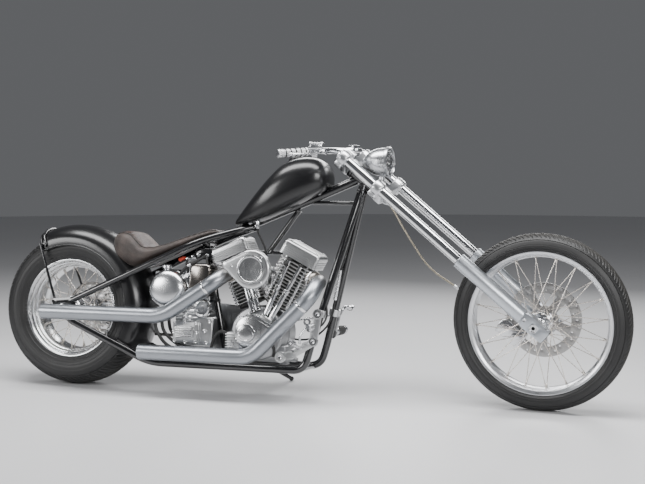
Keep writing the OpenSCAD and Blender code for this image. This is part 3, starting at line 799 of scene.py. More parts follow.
def brushed_look(place, light, gloss, draw):
    """Metal brushed along a piece's own z, or with draw turned round, across it."""

    def look(spot):
        own = spot.seen_from(place)
        lines = own.stretched(*draw).noise(1.0, 4, 0.65)
        cloud = spot.noise(22, 4, 0.6)
        grey = tuple(part * 0.74 for part in light)
        return {
            "Base Color": (0.5 * lines + 0.5 * cloud).tint(grey, light),
            "Roughness": gloss + 0.16 * lines + 0.08 * cloud,
            "Normal": lines.bump(0.00005),
        }

    return look


chrome = finish("chrome", chrome_look, Metallic=1.0)
leg_alloy = finish(
    "leg_alloy", brushed_look(FORK, (0.60, 0.63, 0.67), 0.24, (1.6, 1.6, 0.05)), Metallic=1.0)
seal_rubber = finish("seal_rubber", lambda spot: {
    "Base Color": spot.noise(80, 3).tint((0.01, 0.01, 0.01), (0.03, 0.03, 0.03)),
    "Roughness": 0.5 + 0.2 * spot.noise(90, 2),
})
tubes = Piece(FORK)
sliders = Piece(FORK)
for side in (-1, 1):
    leg = placed(0, side * LEG_Y, 0)
    tubes.add(turned(
        [(0, SLIDER_TOP - 3), (TUBE_R, SLIDER_TOP - 3), (TUBE_R, CLAMP_HIGH + 14),
         (TUBE_R + 2.6, CLAMP_HIGH + 14.6),
         (TUBE_R + 2.8, CLAMP_HIGH + 22), (TUBE_R + 0.5, CLAMP_HIGH + 25.4), (13, CLAMP_HIGH + 26),
         (12, CLAMP_HIGH + 24.4), (0, CLAMP_HIGH + 24.4)], 64), chrome, leg)
    tubes.add(bolt_head(8.5, 6), chrome, leg @ placed(0, 0, CLAMP_HIGH + 19.5))
    sliders.add(turned(
        [(TUBE_R + 0.3, SLIDER_TOP - 12), (TUBE_R + 0.6, SLIDER_TOP - 2), (TUBE_R + 3, SLIDER_TOP - 1.5),
         (TUBE_R + 3.6, SLIDER_TOP), (SLIDER_R - 1.2, SLIDER_TOP), (SLIDER_R, SLIDER_TOP - 1.4),
         (SLIDER_R, 62), (SLIDER_R - 1.5, 59), (0, 59)], 72), leg_alloy, leg)
    sliders.add(turned([(TUBE_R + 0.1, SLIDER_TOP - 4), (TUBE_R + 2.8, SLIDER_TOP - 3),
                        (TUBE_R + 2.8, SLIDER_TOP + 0.8),
                        (TUBE_R + 0.6, SLIDER_TOP + 2.6), (TUBE_R + 0.1, SLIDER_TOP + 2.6)], 48),
                        seal_rubber, leg)
    foot = bent([(-26, -57, 0), (26, -57, 0), (29.4, 36, 0), (22, 66, 0), (-22, 66, 0), (-29.4, 36, 0)],
                9, 5, closed=True)
    sliders.add(plate([foot, ring_of(0, 0, 12.6, 40)], 49, 2.2), leg_alloy,
                leg @ placed(0, 24.5, 0) @ Matrix.Rotation(pi / 2, 4, "X"))
    for height in (-26, -46):
        sliders.add(cap_screw(5.4, 5), bright_alloy,
                    leg @ placed(25, 0, height) @ Matrix.Rotation(pi / 2, 4, "Y"))
        sliders.add(cap_screw(5.4, 5), bright_alloy,
                    leg @ placed(-25, 0, height) @ Matrix.Rotation(-pi / 2, 4, "Y"))
    sliders.add(block((-26.6, -22, -57.6), (26.6, 22, -57.0), 0.2), seal_rubber, leg)
    sliders.add(cap_screw(7, 3), bright_alloy,
                leg @ placed(0, side * 24.6, 45) @ Matrix.Rotation(-side * pi / 2, 4, "X"))
tubes.done("fork_tubes_chromed", "front_end", "chromed_steel", "fork_tubes")
sliders.done("fork_sliders_brushed", "front_end", "polished_aluminium", "fork_sliders")

# ---------- Front axle ----------
# A hollow chromed axle with spacers to the hub and a nut at each end.
axle = Piece(FORK @ to_left(0, 0, 0))
axle.add(turned(
    [(7, -158.5), (11.5, -158.5), (12.5, -157.5), (12.5, 157.5), (11.5, 158.5), (7, 158.5)], 48,
    closed=True), chrome)
for low, high in ((-104, -46), (70, 104)):
    axle.add(turned([(12.6, low), (16, low), (17, low + 1), (17, high - 1), (16, high), (12.6, high)],
                    40), chrome)
for low in (-160.3, 153):
    nut = plate([[(18.6 * cos(tau * k / 6), 18.6 * sin(tau * k / 6)) for k in range(6)],
                 ring_of(0, 0, 12.6, 32)], 7.3, 1)
    axle.add(nut, chrome, placed(0, 0, low))
axle.done("front_axle_chromed", "front_end", "chromed_steel", "front_axle")

# ---------- Fork clamps ----------
# Two clamps milled from aluminium plate join the legs to the stem. Each is split behind the leg and
# closed on it by screws. A steering stop hangs from the lower one.


def clamp_alloy_look(spot):
    mill = spot.seen_from(FORK).stretched(0.9, 0.06, 0.9).noise(1.0, 3, 0.6)
    wear = spot.noise(60, 4, 0.6)
    return {
        "Base Color": (0.4 * mill + 0.6 * wear).tint((0.52, 0.53, 0.55), (0.76, 0.77, 0.78)),
        "Roughness": 0.2 + 0.2 * mill,
        "Normal": mill.bump(0.00004),
    }


clamp_alloy = finish("clamp_alloy", clamp_alloy_look, Metallic=1.0)
clamps = Piece(FORK)
for height, thick in ((CLAMP_LOW, 32), (CLAMP_HIGH, 28)):
    arc = [(33 * cos(a), LEG_Y + 33 * sin(a)) for a in (radians(-62 + 15 * k) for k in range(16))]
    outline = [(-77, 18), (-62, 42), (-38, 82), *[(x, y) for x, y in reversed(arc)], (2, 70), (-12, 34)]
    outline += [(x, -y) for x, y in reversed(outline)]
    rounded_plan = bent([(x, y, 0) for x, y in outline], 5, 2, closed=True)
    holes = [ring_of(0, side * LEG_Y, TUBE_R + 0.1, 48)
             for side in (-1, 1)] + [ring_of(-STEM_BACK, 0, 19.2, 40)]
    clamps.add(plate([rounded_plan, *holes], thick, 2.4), clamp_alloy, placed(0, 0, height - thick / 2))
    for side in (-1, 1):
        band = turned([(TUBE_R + 0.3, -thick / 2 - 4), (TUBE_R + 8.5, -thick / 2 - 4),
                       (TUBE_R + 11, -thick / 2 - 1),
                       (TUBE_R + 11, thick / 2 + 1), (TUBE_R + 8.5, thick / 2 + 4),
                       (TUBE_R + 0.3, thick / 2 + 4)], 56)
        clamps.add(band, clamp_alloy, placed(0, side * LEG_Y, height))
        ear = block((22, -9, -thick / 2 - 1), (44, 9, thick / 2 + 1), 3)
        clamps.add(ear, clamp_alloy, placed(0, side * LEG_Y, height)
                   @ Matrix.Rotation(side * 2.5, 4, "Z"))
        for level in (-8, 8):
            place = placed(0, side * LEG_Y, height + level) @ Matrix.Rotation(side * 2.5, 4, "Z")
            clamps.add(cap_screw(4.6, 5), bright_alloy,
                       place @ placed(36, -9, 0) @ Matrix.Rotation(pi / 2, 4, "X"))
clamps.add(rod((-STEM_BACK, 0, CLAMP_LOW - 16), (-STEM_BACK, 0, CLAMP_HIGH + 15), 19, sides=40),
           clamp_alloy)
clamps.add(bolt_head(20, 12), chrome, placed(-STEM_BACK, 0, CLAMP_HIGH + 15))
stop = [(-22, 0), (22, 0), (14, -22), (3, -40), (-5, -40), (-16, -22)]
clamps.add(plate([bent([(x, y, 0) for x, y in stop], 5, 4, closed=True), ring_of(0, -14, 7, 24)], 14,
                 1.2), clamp_alloy,
           placed(-STEM_BACK, 7, CLAMP_LOW - 15) @ Matrix.Rotation(pi / 2, 4, "X"))
clamps.done("fork_clamps_milled", "front_end", "cast_aluminium", "triple_clamps")

# ---------- Handlebar and grips ----------
# A low bar of one inch steel tube, bent back to the rider, on two risers. The grips are knurled
# aluminium sleeves with rubber rings and a flat end cap.
BAR_PATH = [(1054, 352, 1012), (1136, 246, 1018), (1184, 120, 1020), (1191, 0, 1016)]
BAR_R = 12.7


def knurl_look(spot):
    own = spot.seen_from(STEERED)
    x, y, z = own.parts()
    one, other = (x + y) * 1.3, (x - y + 2 * z) * 1.3
    crossed = one.sine() * other.sine()
    wear = spot.noise(70, 3)
    return {
        "Base Color": wear.tint((0.40, 0.41, 0.42), (0.72, 0.72, 0.73)),
        "Roughness": 0.26 + 0.14 * wear,
        "Normal": crossed.bump(0.0004),
    }


knurled_alloy = finish("knurled_alloy", knurl_look, Metallic=1.0)
bar = Piece(STEERED)
half_bar = bent(BAR_PATH, 60, 10)
bar.add(pipe(half_bar + [mirrored(p, -1) for p in reversed(half_bar[:-1])], BAR_R, 32), chrome)
for side in (-1, 1):
    tip = mirrored(BAR_PATH[0], side)
    along = (mirrored(BAR_PATH[1], side) - tip).normalized()
    sleeve = [(13, -4), (16.4, -3), (17.4, -1), (17.4, 5), (15.2, 7)]
    for band in range(5):
        start = 9 + band * 22
        sleeve += [(15.4, start), (16.3, start + 1), (16.3, start + 14), (15.4, start + 15),
                   (15.0, start + 18)]
    sleeve += [(17.6, 118), (18, 120), (18, 124), (15, 126), (13, 126)]
    bar.add(turned(sleeve, 48), knurled_alloy, facing(tip, along))
    for band in range(5):
        ring = [(15, 24.4 + band * 22), (16.7, 25 + band * 22), (16.7, 29.4 + band * 22),
                (15, 30 + band * 22)]
        bar.add(turned(ring, 40), seal_rubber, facing(tip, along))
    bar.add(turned([(0, -6.5), (12, -6), (15.6, -4.6), (16.2, -3), (13, -2)], 40), bright_alloy,
            facing(tip, along))
bar.done("handlebar_and_grips", "front_end", "chromed_steel")
risers = Piece(FORK)
for side in (-1, 1):
    risers.add(rod((-10, side * 42, CLAMP_HIGH + 14), (-10, side * 42, CLAMP_HIGH + 50), 15, 16.5, 40,
                   1.6), clamp_alloy)
    risers.add(cap_screw(4, 4), bright_alloy, placed(-10, side * 42, CLAMP_HIGH + 49))
risers.done("handlebar_risers", "front_end", "chromed_steel")
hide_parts("handlebar")

# ---------- Hand controls ----------
# Polished housings clamp round the bar inside each grip: a brake reservoir with a screwed lid and its
# lever on the right, and the clutch perch and its lever on the left.
controls = Piece(STEERED)
for side in (-1, 1):
    seat_place = placed(1146, side * 222, 1019) @ Matrix.Rotation(side * radians(-24), 4, "Z")
    controls.add(rod((0, -16, 0), (0, 16, 0), 18.5, sides=40, edge=2), bright_alloy, seat_place)
    controls.add(block((-8, -14, -24), (14, 14, -10), 3), bright_alloy, seat_place)
    controls.add(block((6, -17, -11), (44, 15, 8), 4), bright_alloy, seat_place)
    for spot in (-8, 8):
        controls.add(cap_screw(3.4, 3.4), chrome, seat_place @ placed(18, spot, 8))
    if side < 0:
        controls.add(block((-16, -34, 8), (34, 36, 30), 5, 4), bright_alloy, seat_place)
        controls.add(block((-19, -38, 29), (37, 40, 35), 2.4), bright_alloy, seat_place)
        for x in (-13, 31):
            for y in (-32, 34):
                controls.add(cap_screw(3, 1.8), chrome, seat_place @ placed(x, y, 35))
        controls.add(rod((30, 30, -4), (52, 46, -12), 6, 4.5, 20, 1), bright_alloy, seat_place)
        controls.add(turned([(0, 0), (7, 0), (8, 1), (8, 7), (7, 8), (0, 8)], 28), bright_alloy,
                     seat_place @ placed(8, -26, 14) @ Matrix.Rotation(-pi / 2, 4, "Y")
                     @ placed(0, 0, 20))
    else:
        controls.add(block((-10, -22, 8), (22, 20, 22), 4, 4), bright_alloy, seat_place)
        controls.add(rod((26, -22, 2), (40, -46, 0), 7, 5.5, 20, 1), knurled_alloy, seat_place)
    pivot = Vector((1186, side * 240, 1014))
    lever = [pivot, (1176, side * 280, 1013), (1146, side * 322, 1011), (1112, side * 356, 1009)]
    route = bent(lever, 40, 8)
    widths = [6.6 - 2.4 * sin(pi * k / (len(route) - 1)) * 0.5 for k in range(len(route))]
    shape = pipe(route, widths, 16)
    bmesh.ops.scale(shape, vec=(1, 1, 0.62), space=placed(0, 0, -1012), verts=shape.verts)
    controls.add(shape, bright_alloy)
    knob = bmesh.new()
    bmesh.ops.create_uvsphere(knob, u_segments=20, v_segments=12, radius=7)
    controls.add(knob, bright_alloy, placed(1109, side * 359, 1009))
    controls.add(cap_screw(6.5, 4), chrome, placed(1184, side * 240, 1018))
controls.done("hand_controls_polished", "front_end", "chromed_steel", "hand_controls")

# ---------- Headlight ----------
# A spun aluminium shell with a rolled bezel. Behind the fluted glass sit a bright bowl and a bulb, and a
# forked bracket bolts the shell to the lower clamp.
LAMP = STEERED @ placed(1272, 0, 971) @ Matrix.Rotation(pi / 2, 4, "Y")
spun_alloy = finish("spun_alloy", turned_metal_look(LAMP, (0.66, 0.67, 0.69), 0.17, 0.00006),
                    Metallic=1.0)
lamp = Piece(LAMP)
shell = smooth_through([(0, -0.4), (9, 0), (17, 4), (30, 18), (44, 36), (53, 56), (57, 78), (58, 104)], 6)
lamp.add(turned([*shell, (60, 104.5), (62, 106.5), (62.4, 113), (61.4, 118), (58, 120.4), (54.5, 119.6),
                 (53, 116.5),
                 (53, 110), (50, 104)], 120), spun_alloy)
lamp.add(turned(smooth_through([(52.8, 110), (47, 84), (34, 62), (18, 50), (8, 47), (0, 46.5)], 6), 96),
         chrome)
lamp.add(turned([(0, 46), (6, 47), (7, 60), (8, 74), (6, 84), (0, 86)], 32), bright_alloy)


def glass_look(spot):
    x, y, z = spot.seen_from(LAMP).parts()
    flutes = (y * 1.05).sine()
    return {"Roughness": 0.02 + 0.03 * spot.noise(50, 2), "Normal": flutes.bump(0.0007)}


lamp_glass = finish("lamp_glass", glass_look, Transmission_Weight=1.0, IOR=1.45, Alpha=1.0)
lamp.add(turned(smooth_through([(53.2, 112), (44, 117.5), (28, 121.5), (12, 123.4), (0, 123.8)], 5)
                + smooth_through([(0, 120.6), (12, 120.2), (28, 118.4), (44, 114.4), (53.2, 109.5)], 5),
                96, closed=True),
         lamp_glass)
lamp.done("headlight_shell", "front_end", "polished_aluminium", "headlight")
bracket = Piece(STEERED)
bracket.add(rod((1352, 0, 912), (1352, 0, 886), 12, sides=32, edge=1.5), spun_alloy)
bracket.add(rod((1352, 0, 888), (1352, 0, 880), 17, sides=32, edge=1.5), spun_alloy)
bracket.add(bolt_head(9, 7), bright_alloy, placed(1352, 0, 880) @ FLIP)
bracket.add(pipe(bent([(1352, 0, 884), (1338, 0, 872), (1322, 0, 850)], 8), 9, 20), spun_alloy)
bracket.done("headlight_bracket", "front_end", "polished_aluminium")

# ---------- Front caliper and brake hose ----------
# A four-piston caliper of machined aluminium is bolted behind the left leg. A braided hose runs to it
# from the lower clamp, with a crimped fitting at each end.
HOSE_ROUTE = [
    (1376, 0, 812), (1400, 14, 770), (1426, 28, 716), (1450, 42, 669), (1474, 60, 622), (1500, 78, 574),
    (1528, 94, 536), (1562, 108, 504), (1600, 116, 478), (1640, 118, 452),
]


def braid_look(spot):
    x, y, z = spot.seen_from(STEERED).parts()
    one, other = ((x + z) * 2.1).sine(), ((x - z + y) * 2.1).sine()
    weave = (one * other).step(-0.6, 0.6)
    return {
        "Base Color": weave.tint((0.16, 0.14, 0.10), (0.56, 0.50, 0.40)),
        "Roughness": 0.34 + 0.2 * weave,
        "Normal": weave.bump(0.0003),
    }


braid = finish("braid", braid_look, Metallic=0.85)
hose = Piece(STEERED)
hose_path = smooth_through([tuple(p) for p in HOSE_ROUTE], 6)
hose.add(pipe(hose_path, 3.6, 14), braid)
for start, end in ((hose_path[0], hose_path[3]), (hose_path[-1], hose_path[-4])):
    line = (Vector(end) - Vector(start)).normalized()
    hose.add(rod(Vector(start) - line * 3, Vector(start) + line * 20, 5.6, 5, 20, 0.8), bright_alloy)
    hose.add(rod(Vector(start) - line * 1, Vector(start) + line * 8, 7, sides=6, edge=0.6), bright_alloy)
hose.done("brake_hose_braided", "front_end", "hose_rubber", "brake_hose")
caliper = Piece(FORK)
for low, high in ((34, 55), (69, 97)):
    body = bent([(-158, 10, 0), (-146, 6, 0), (-104, 4, 0), (-92, 16, 0), (-91, 96, 0), (-100, 118, 0),
                 (-126, 123, 0), (-158, 112, 0)], 10, 5, closed=True)
    caliper.add(plate([body], high - low, 3), bright_alloy,
                placed(0, high, 0) @ Matrix.Rotation(pi / 2, 4, "X"))
    face = 34 if low < 60 else 97
    for height in (40, 86):
        way = to_right(-124, face, height) if face == 34 else to_left(-124, face, height)
        caliper.add(turned([(0, 0.6), (14, 0.6), (15, 0.2), (17, 0.2), (18, -1)], 36), bright_alloy, way)
for height in (14, 62, 110):
    caliper.add(rod((-152, 36, height), (-152, 95, height), 7, sides=24), bright_alloy)
caliper.add(block((-98, 84, 44), (-26, 104, 76), 4), bright_alloy)
for height in (52, 68):
    caliper.add(cap_screw(5.5, 5), chrome, to_left(-66, 104, height))
caliper.done("front_caliper_machined", "front_end", "cast_aluminium", "front_caliper")

# ---------- Fuel tank ----------
# Pressed steel, welded and smoothed, with a tunnel for the tube it sits on. It is sprayed in deep black
# lacquer, which shows broad soft reflections, and has a flush round cap.
TANK_SECTIONS = [
    (727, 704, 712, 10), (733, 703, 727, 30), (750, 704, 750, 44), (784, 709, 793, 65),
    (832, 716, 852, 89),
    (882, 730, 909, 107), (932, 752, 956, 117), (982, 776, 981, 120), (1030, 799, 989.5, 119.4),
    (1074, 822, 987, 114), (1104, 838, 975, 104), (1122, 850, 957, 90), (1132, 862, 938, 70),
    (1137, 878, 920, 42),
    (1138, 890, 908, 14),
]


def body_through(sections, sides, below, above, steps=4):
    """A body drawn along the bike: one ring is extruded and set on each section, which is given by its
    place, its low and high sides and its half width. below and above say how square its halves are."""
    shape = bmesh.new()
    turn = shape.verts.layers.float.new("turn")
    ring = bmesh.ops.create_circle(shape, cap_ends=False, segments=sides, radius=1)["verts"]
    edges = shape.edges[:]
    for vert in ring:
        vert[turn] = atan2(vert.co.y, vert.co.x)
    for index, (x, low, high, half) in enumerate(smooth_through(sections, steps)):
        if index:
            drawn = bmesh.ops.extrude_edge_only(shape, edges=edges)["geom"]
            ring = [g for g in drawn if isinstance(g, bmesh.types.BMVert)]
            edges = [g for g in drawn if isinstance(g, bmesh.types.BMEdge)]
        for vert in ring:
            up_part, side_part = sin(vert[turn]), cos(vert[turn])
            power = 2 / (above if up_part > 0 else below)
            reach = abs(side_part) ** power * (1 if side_part > 0 else -1)
            rise = abs(up_part) ** power * (1 if up_part > 0 else -1)
            vert.co = (x, half * reach, (low + high) / 2 + (high - low) / 2 * rise)
    bmesh.ops.holes_fill(shape, edges=[e for e in shape.edges if e.is_boundary], sides=0)
    bmesh.ops.recalc_face_normals(shape, faces=shape.faces)
    return shape


def lacquer_look(spot):
    ripple = spot.noise(7, 2)
    dust = spot.noise(90, 5, 0.75).step(0.6, 0.85)
    return {
        "Base Color": dust.tint((0.0035, 0.0035, 0.0042), (0.011, 0.011, 0.012)),
        "Roughness": 0.27 + 0.08 * ripple + 0.1 * dust,
        "Normal": spot.noise(1100, 2).bump(0.000012),
    }


lacquer = finish("lacquer", lacquer_look, Coat_Weight=0.35, Coat_Roughness=0.16, IOR=1.45)
TUNNEL_HALF = 27
tank_shell = body_through(TANK_SECTIONS, 72, 3.0, 2.35)
for vert in tank_shell.verts:
    roof = 722 + (vert.co.x - 770) * 0.416
    if abs(vert.co.y) < TUNNEL_HALF and vert.co.z < roof and vert.co.x > 745:
        vert.co.z = roof
tank = Piece(BIKE)
tank.add(tank_shell, lacquer)
cap_place = placed(985, 0, 974) @ Matrix.Rotation(radians(-9), 4, "Y")
tank.add(turned([(0, 20), (21, 19.4), (26, 18.2), (28.6, 16), (30, 13.4), (30, 8), (32.5, 7), (34, 5),
                 (34, -4), (0, -4)], 72),
         lacquer, cap_place)
for k in range(24):
    tank.add(rod((30.2, 0, 9), (30.2, 0, 14.5), 0.9, sides=8), lacquer,
             cap_place @ Matrix.Rotation(tau * k / 24, 4, "Z"))
tank.done("fuel_tank_lacquered", "frame", "gloss_black", "fuel_tank", crease=50)
tank_mounts = Piece(BIKE)
for x, z in ((800, 716), (1096, 842)):
    tank_mounts.add(rod((x, -34, z), (x, 34, z), 9, sides=24, edge=1), frame_paint)
    tank_mounts.add(bolt_head(7, 5), bright_alloy, to_left(x, 34, z), to_right(x, -34, z))
tank_mounts.add(rod((838, -46, 722), (838, -46, 690), 8, 6.5, 24, 1), bright_alloy)
tank_mounts.add(rod((838, -46, 700), (838, -66, 700), 5, sides=16, edge=0.8), bright_alloy)
tank_mounts.add(pipe(smooth_through([(838, -46, 692), (842, -46, 668), (856, -40, 640), (868, -30, 606),
                                     (872, -20, 574)], 6), 4.2, 14), seal_rubber)
tank_mounts.done("tank_mounts_and_tap", "frame", "gloss_black")

# ---------- Rear fender ----------
# One sheet of steel rolled round the tyre, with wired edges and the tank's black lacquer. It is carried
# by the axle plates, and a round stay wraps its tail and runs down on both sides.
FENDER_FROM, FENDER_ARC = radians(-116), radians(144)
FENDER_HALF_OUTLINE = [(364, 0), (361.6, 30), (353.6, 60), (341, 84), (325, 101), (307, 110.5),
                       (289, 113), (272, 113)]
fender_side = smooth_through(FENDER_HALF_OUTLINE, 5)
fender_outer = [(radius, -along) for radius, along in reversed(fender_side[1:])] + fender_side
FENDER_SHEET, SECTION_FROM, SECTION_R, INNER_SHARE = 2.6, 214, 150, 0.977
fender_inner = [
    (radius - FENDER_SHEET * (radius - SECTION_FROM) / SECTION_R, along * INNER_SHARE)
    for radius, along in reversed(fender_outer)
]
TAIL = REAR_WHEEL @ Matrix.Rotation(FENDER_FROM, 4, "Z")
fender = Piece(TAIL)
fender.add(turned([*fender_outer, *fender_inner], 120, closed=True, arc=FENDER_ARC), lacquer)
for side in (-1, 1):
    wire = [(272 * cos(a), 272 * sin(a), side * 112.4)
            for a in (FENDER_ARC * k / 110 for k in range(111))]
    fender.add(pipe(wire, 3.6, 12), lacquer)
for angle in (0, FENDER_ARC):
    edge = [(radius * cos(angle), radius * sin(angle), along) for radius, along in fender_outer]
    fender.add(pipe(edge, 3.6, 12), lacquer)
fender.done("rear_fender_lacquered", "frame", "gloss_black", "rear_fender", crease=50)
stay = Piece(BIKE)
hoop_angle = radians(-116 + 4)
hoop = [
    ((radius + 5) * cos(hoop_angle), along * 1.045, REAR_R - (radius + 5) * sin(hoop_angle))
    for radius, along in fender_outer
]
side_run = [(-46, 134, 366), (-52, 136, 384), (-134, 122, 606)]
route = [mirrored(p, -1) for p in side_run] + hoop[3:-3] + list(reversed(side_run))
stay.add(pipe(route, 5.6, 16), frame_paint)
for side in (-1, 1):
    stay.add(bolt_head(8, 6), bright_alloy,
             to_left(-44, 138, 362) if side > 0 else to_right(-44, -138, 362))
stay.done("fender_stay", "frame", "black_paint")

# ---------- Seat ----------
# A solo seat of waxed brown leather over foam: a kicked-up rear pad and a long thin nose on a steel pan.
# Its top panel is sewn to lighter sides with a corded seam. The padding is swelled as cloth.
SEAT_SECTIONS = [
    (198, 598, 640, 64), (204, 568, 656, 86), (222, 546, 667, 104), (252, 527, 671, 115),
    (284, 516, 661, 121),
    (312, 515, 632, 124), (342, 527, 604, 125), (378, 545, 598, 124), (430, 568, 608, 120),
    (490, 596, 629, 112),
    (550, 624, 653, 98), (606, 651, 673, 78), (650, 668, 685, 58), (668, 675, 684, 40),
]


def leather_look(shade):
    """Waxed leather, mottled and rubbed pale on its high spots, with a fine pebbled grain."""

    def look(spot):
        mottle = spot.noise(15, 5, 0.65)
        rubbed = spot.noise(42, 6, 0.72).step(0.5, 0.78)
        streak = spot.stretched(30, 90, 30).noise(1.0, 4, 0.6).step(0.56, 0.82)
        grain = spot.node("TexVoronoi", {"feature": "DISTANCE_TO_EDGE"},
                          {"Vector": spot, "Scale": 420.0}).step(0.0, 0.16)
        crease = spot.stretched(60, 26, 60).noise(1.0, 5, 0.7).step(0.42, 0.5)
        dark, base, pale = shade
        body = mottle.step(0.3, 0.72).tint(dark, base)
        worn = (0.7 * rubbed + 0.3 * streak) * (0.55 + 0.45 * mottle)
        return {
            "Base Color": worn.over(body, worn.tint(base, pale)),
            "Roughness": 0.5 - 0.12 * mottle + 0.14 * rubbed,
            "Normal": (grain * 0.55 + crease * 0.5).bump(0.0005),
        }

    return look


top_leather = finish("top_leather",
                     leather_look(((0.010, 0.004, 0.003), (0.040, 0.016, 0.010), (0.105, 0.056, 0.037))))
side_leather = finish("side_leather",
                      leather_look(((0.016, 0.010, 0.008), (0.046, 0.031, 0.025), (0.11, 0.085, 0.070))),
                      Sheen_Weight=0.08, Sheen_Roughness=0.5)
foam = body_through(SEAT_SECTIONS, 56, 3.4, 3.6, 6)
foam.transform(BIKE)
foam_mesh = bpy.data.meshes.new("seat_foam")
foam.to_mesh(foam_mesh)
foam.free()
seat = bpy.data.objects.new("seat_leather_pad", foam_mesh)
bpy.context.scene.collection.objects.link(seat)


def settle(thing):
    """Makes a piece's modifiers part of its mesh."""
    graph = bpy.context.evaluated_depsgraph_get()
    graph.update()
    made = bpy.data.meshes.new_from_object(thing.evaluated_get(graph), depsgraph=graph)
    thing.modifiers.clear()
    thing.data = made


VOXEL, SWELL, FRAMES = 0.005, 0.0055, 20
remesh = seat.modifiers.new("remesh", "REMESH")
remesh.mode = "VOXEL"
remesh.voxel_size = VOXEL
settle(seat)
before = [v.co.copy() for v in seat.data.vertices]
cloth = seat.modifiers.new("cloth", "CLOTH")
cloth.settings.quality = 5
cloth.settings.use_pressure = True
cloth.settings.uniform_pressure_force = 4
cloth.settings.effector_weights.gravity = 0
for number in range(1, FRAMES + 1):
    bpy.context.scene.frame_set(number)
settle(seat)
bpy.context.scene.frame_set(1)
for vert, start in zip(seat.data.vertices, before):
    moved = vert.co - start
    if moved.length > SWELL:
        vert.co = start + moved * (SWELL / moved.length)
rounder = seat.modifiers.new("rounder", "SUBSURF")
rounder.levels = rounder.render_levels = 1
settle(seat)

SEAM_SHARE = 0.80
to_bike = BIKE.inverted()
seat.data.materials.clear()
seat.data.materials.append(top_leather)
seat.data.materials.append(side_leather)
seam_half = smooth_through([(x, half, (low + high) / 2) for x, low, high, half in SEAT_SECTIONS], 8)


def seam_width(x):
    """How far the top panel reaches to each side, at a place along the seat."""
    for (x0, half0, _), (x1, half1, _) in zip(seam_half, seam_half[1:]):
        if x0 <= x <= x1:
            return SEAM_SHARE * (half0 + (half1 - half0) * (x - x0) / (x1 - x0)) - 4
    return 0


for face in seat.data.polygons:
    spot = to_bike @ face.center
    normal = (to_bike.to_3x3() @ face.normal).normalized()
    is_top = normal.z > -0.15 and abs(spot.y) < seam_width(spot.x) and 214 < spot.x < 660
    face.material_index = 0 if is_top else 1
seat.data.shade_smooth()
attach(seat, "frame")
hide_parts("seat")

surface = BVHTree.FromObject(seat, bpy.context.evaluated_depsgraph_get())


def on_seat(x, y):
    """The seat's top at a place, in the bike's millimetres."""
    start = BIKE @ Vector((x, y, 760))
    down = (BIKE.to_3x3() @ Vector((0, 0, -1))).normalized()
    hit = surface.ray_cast(start, down)[0]
    return to_bike @ hit if hit else None


cord_leather = finish("cord_leather",
                      leather_look(((0.004, 0.003, 0.002), (0.012, 0.008, 0.006), (0.03, 0.02, 0.015))))
seams = Piece(BIKE)
stations = [218 + 8 * k for k in range(55)]
right_edge = [on_seat(x, -seam_width(x)) for x in stations]
left_edge = [on_seat(x, seam_width(x)) for x in stations]
loop = [p for p in right_edge + list(reversed(left_edge)) if p]
seams.add(pipe([*loop, loop[0]], 2.8, 10), cord_leather)
for edge, inward in ((right_edge, 1), (left_edge, -1)):
    for a, b in zip([p for p in edge if p], [p for p in edge[1:] if p]):
        middle = a.lerp(b, 0.5) + Vector((0, inward * 5.5, 0))
        top = on_seat(middle.x, middle.y)
        if top:
            along = (b - a).normalized() * 2.6
            seams.add(rod(top - along, top + along, 0.75, sides=6), top_leather)
seams.done("seat_seams", "frame", "seat_leather")
pan = Piece(BIKE)
pan_sections = [(x, low - 5, low + 2, half + 1.5) for x, low, high, half in SEAT_SECTIONS if x > 330]
pan.add(body_through(pan_sections, 40, 3.4, 3.4, 4), frame_paint)
pan.done("seat_pan", "frame", "black_paint", crease=50)

# ---------- Exhausts ----------
# Two open pipes of 63 mm steel tube, blasted to a satin grey. Each is bent from one length, clamped to a
# stub at its cylinder's port, and tinted by the heat there.
UPPER_PIPE = [(-72, -190, 319), (484, -190, 319), (706, -178, 468), (734, -132, 500), (738, -67, 502)]
LOWER_PIPE = [(384, -190, 168), (872, -190, 168), (1112, -180, 416), (1126, -130, 472), (1114, -56, 476),
              (1066, -40, 490)]
PIPE_R, BORE_R, BORE_DEEP = 31.8, 29.6, 140


def exhaust_look(port):
    def look(spot):
        own = spot.seen_from(BIKE)
        heat = own.node("VectorMath", {"operation": "DISTANCE"}, {0: own, 1: port}, out=1)
        grain = spot.noise(520, 3, 0.6)
        cloud = spot.noise(9, 4, 0.6)
        stain = spot.stretched(5, 20, 34).noise(1.0, 4, 0.6)
        bare = (0.6 * cloud + 0.4 * stain).tint((0.24, 0.255, 0.28), (0.38, 0.395, 0.42))
        return {
            "Base Color": (0.5 - 0.5 * heat.step(40, 150)).over(bare, (0.36, 0.30, 0.22)),
            "Roughness": 0.27 + 0.12 * cloud + 0.06 * grain,
            "Normal": grain.bump(0.00006),
        }

    return look


def soot_look(spot):
    soot = spot.noise(60, 4, 0.7)
    return {"Base Color": soot.tint((0.006, 0.006, 0.006), (0.03, 0.028, 0.026)),
            "Roughness": 0.7 + 0.2 * soot}


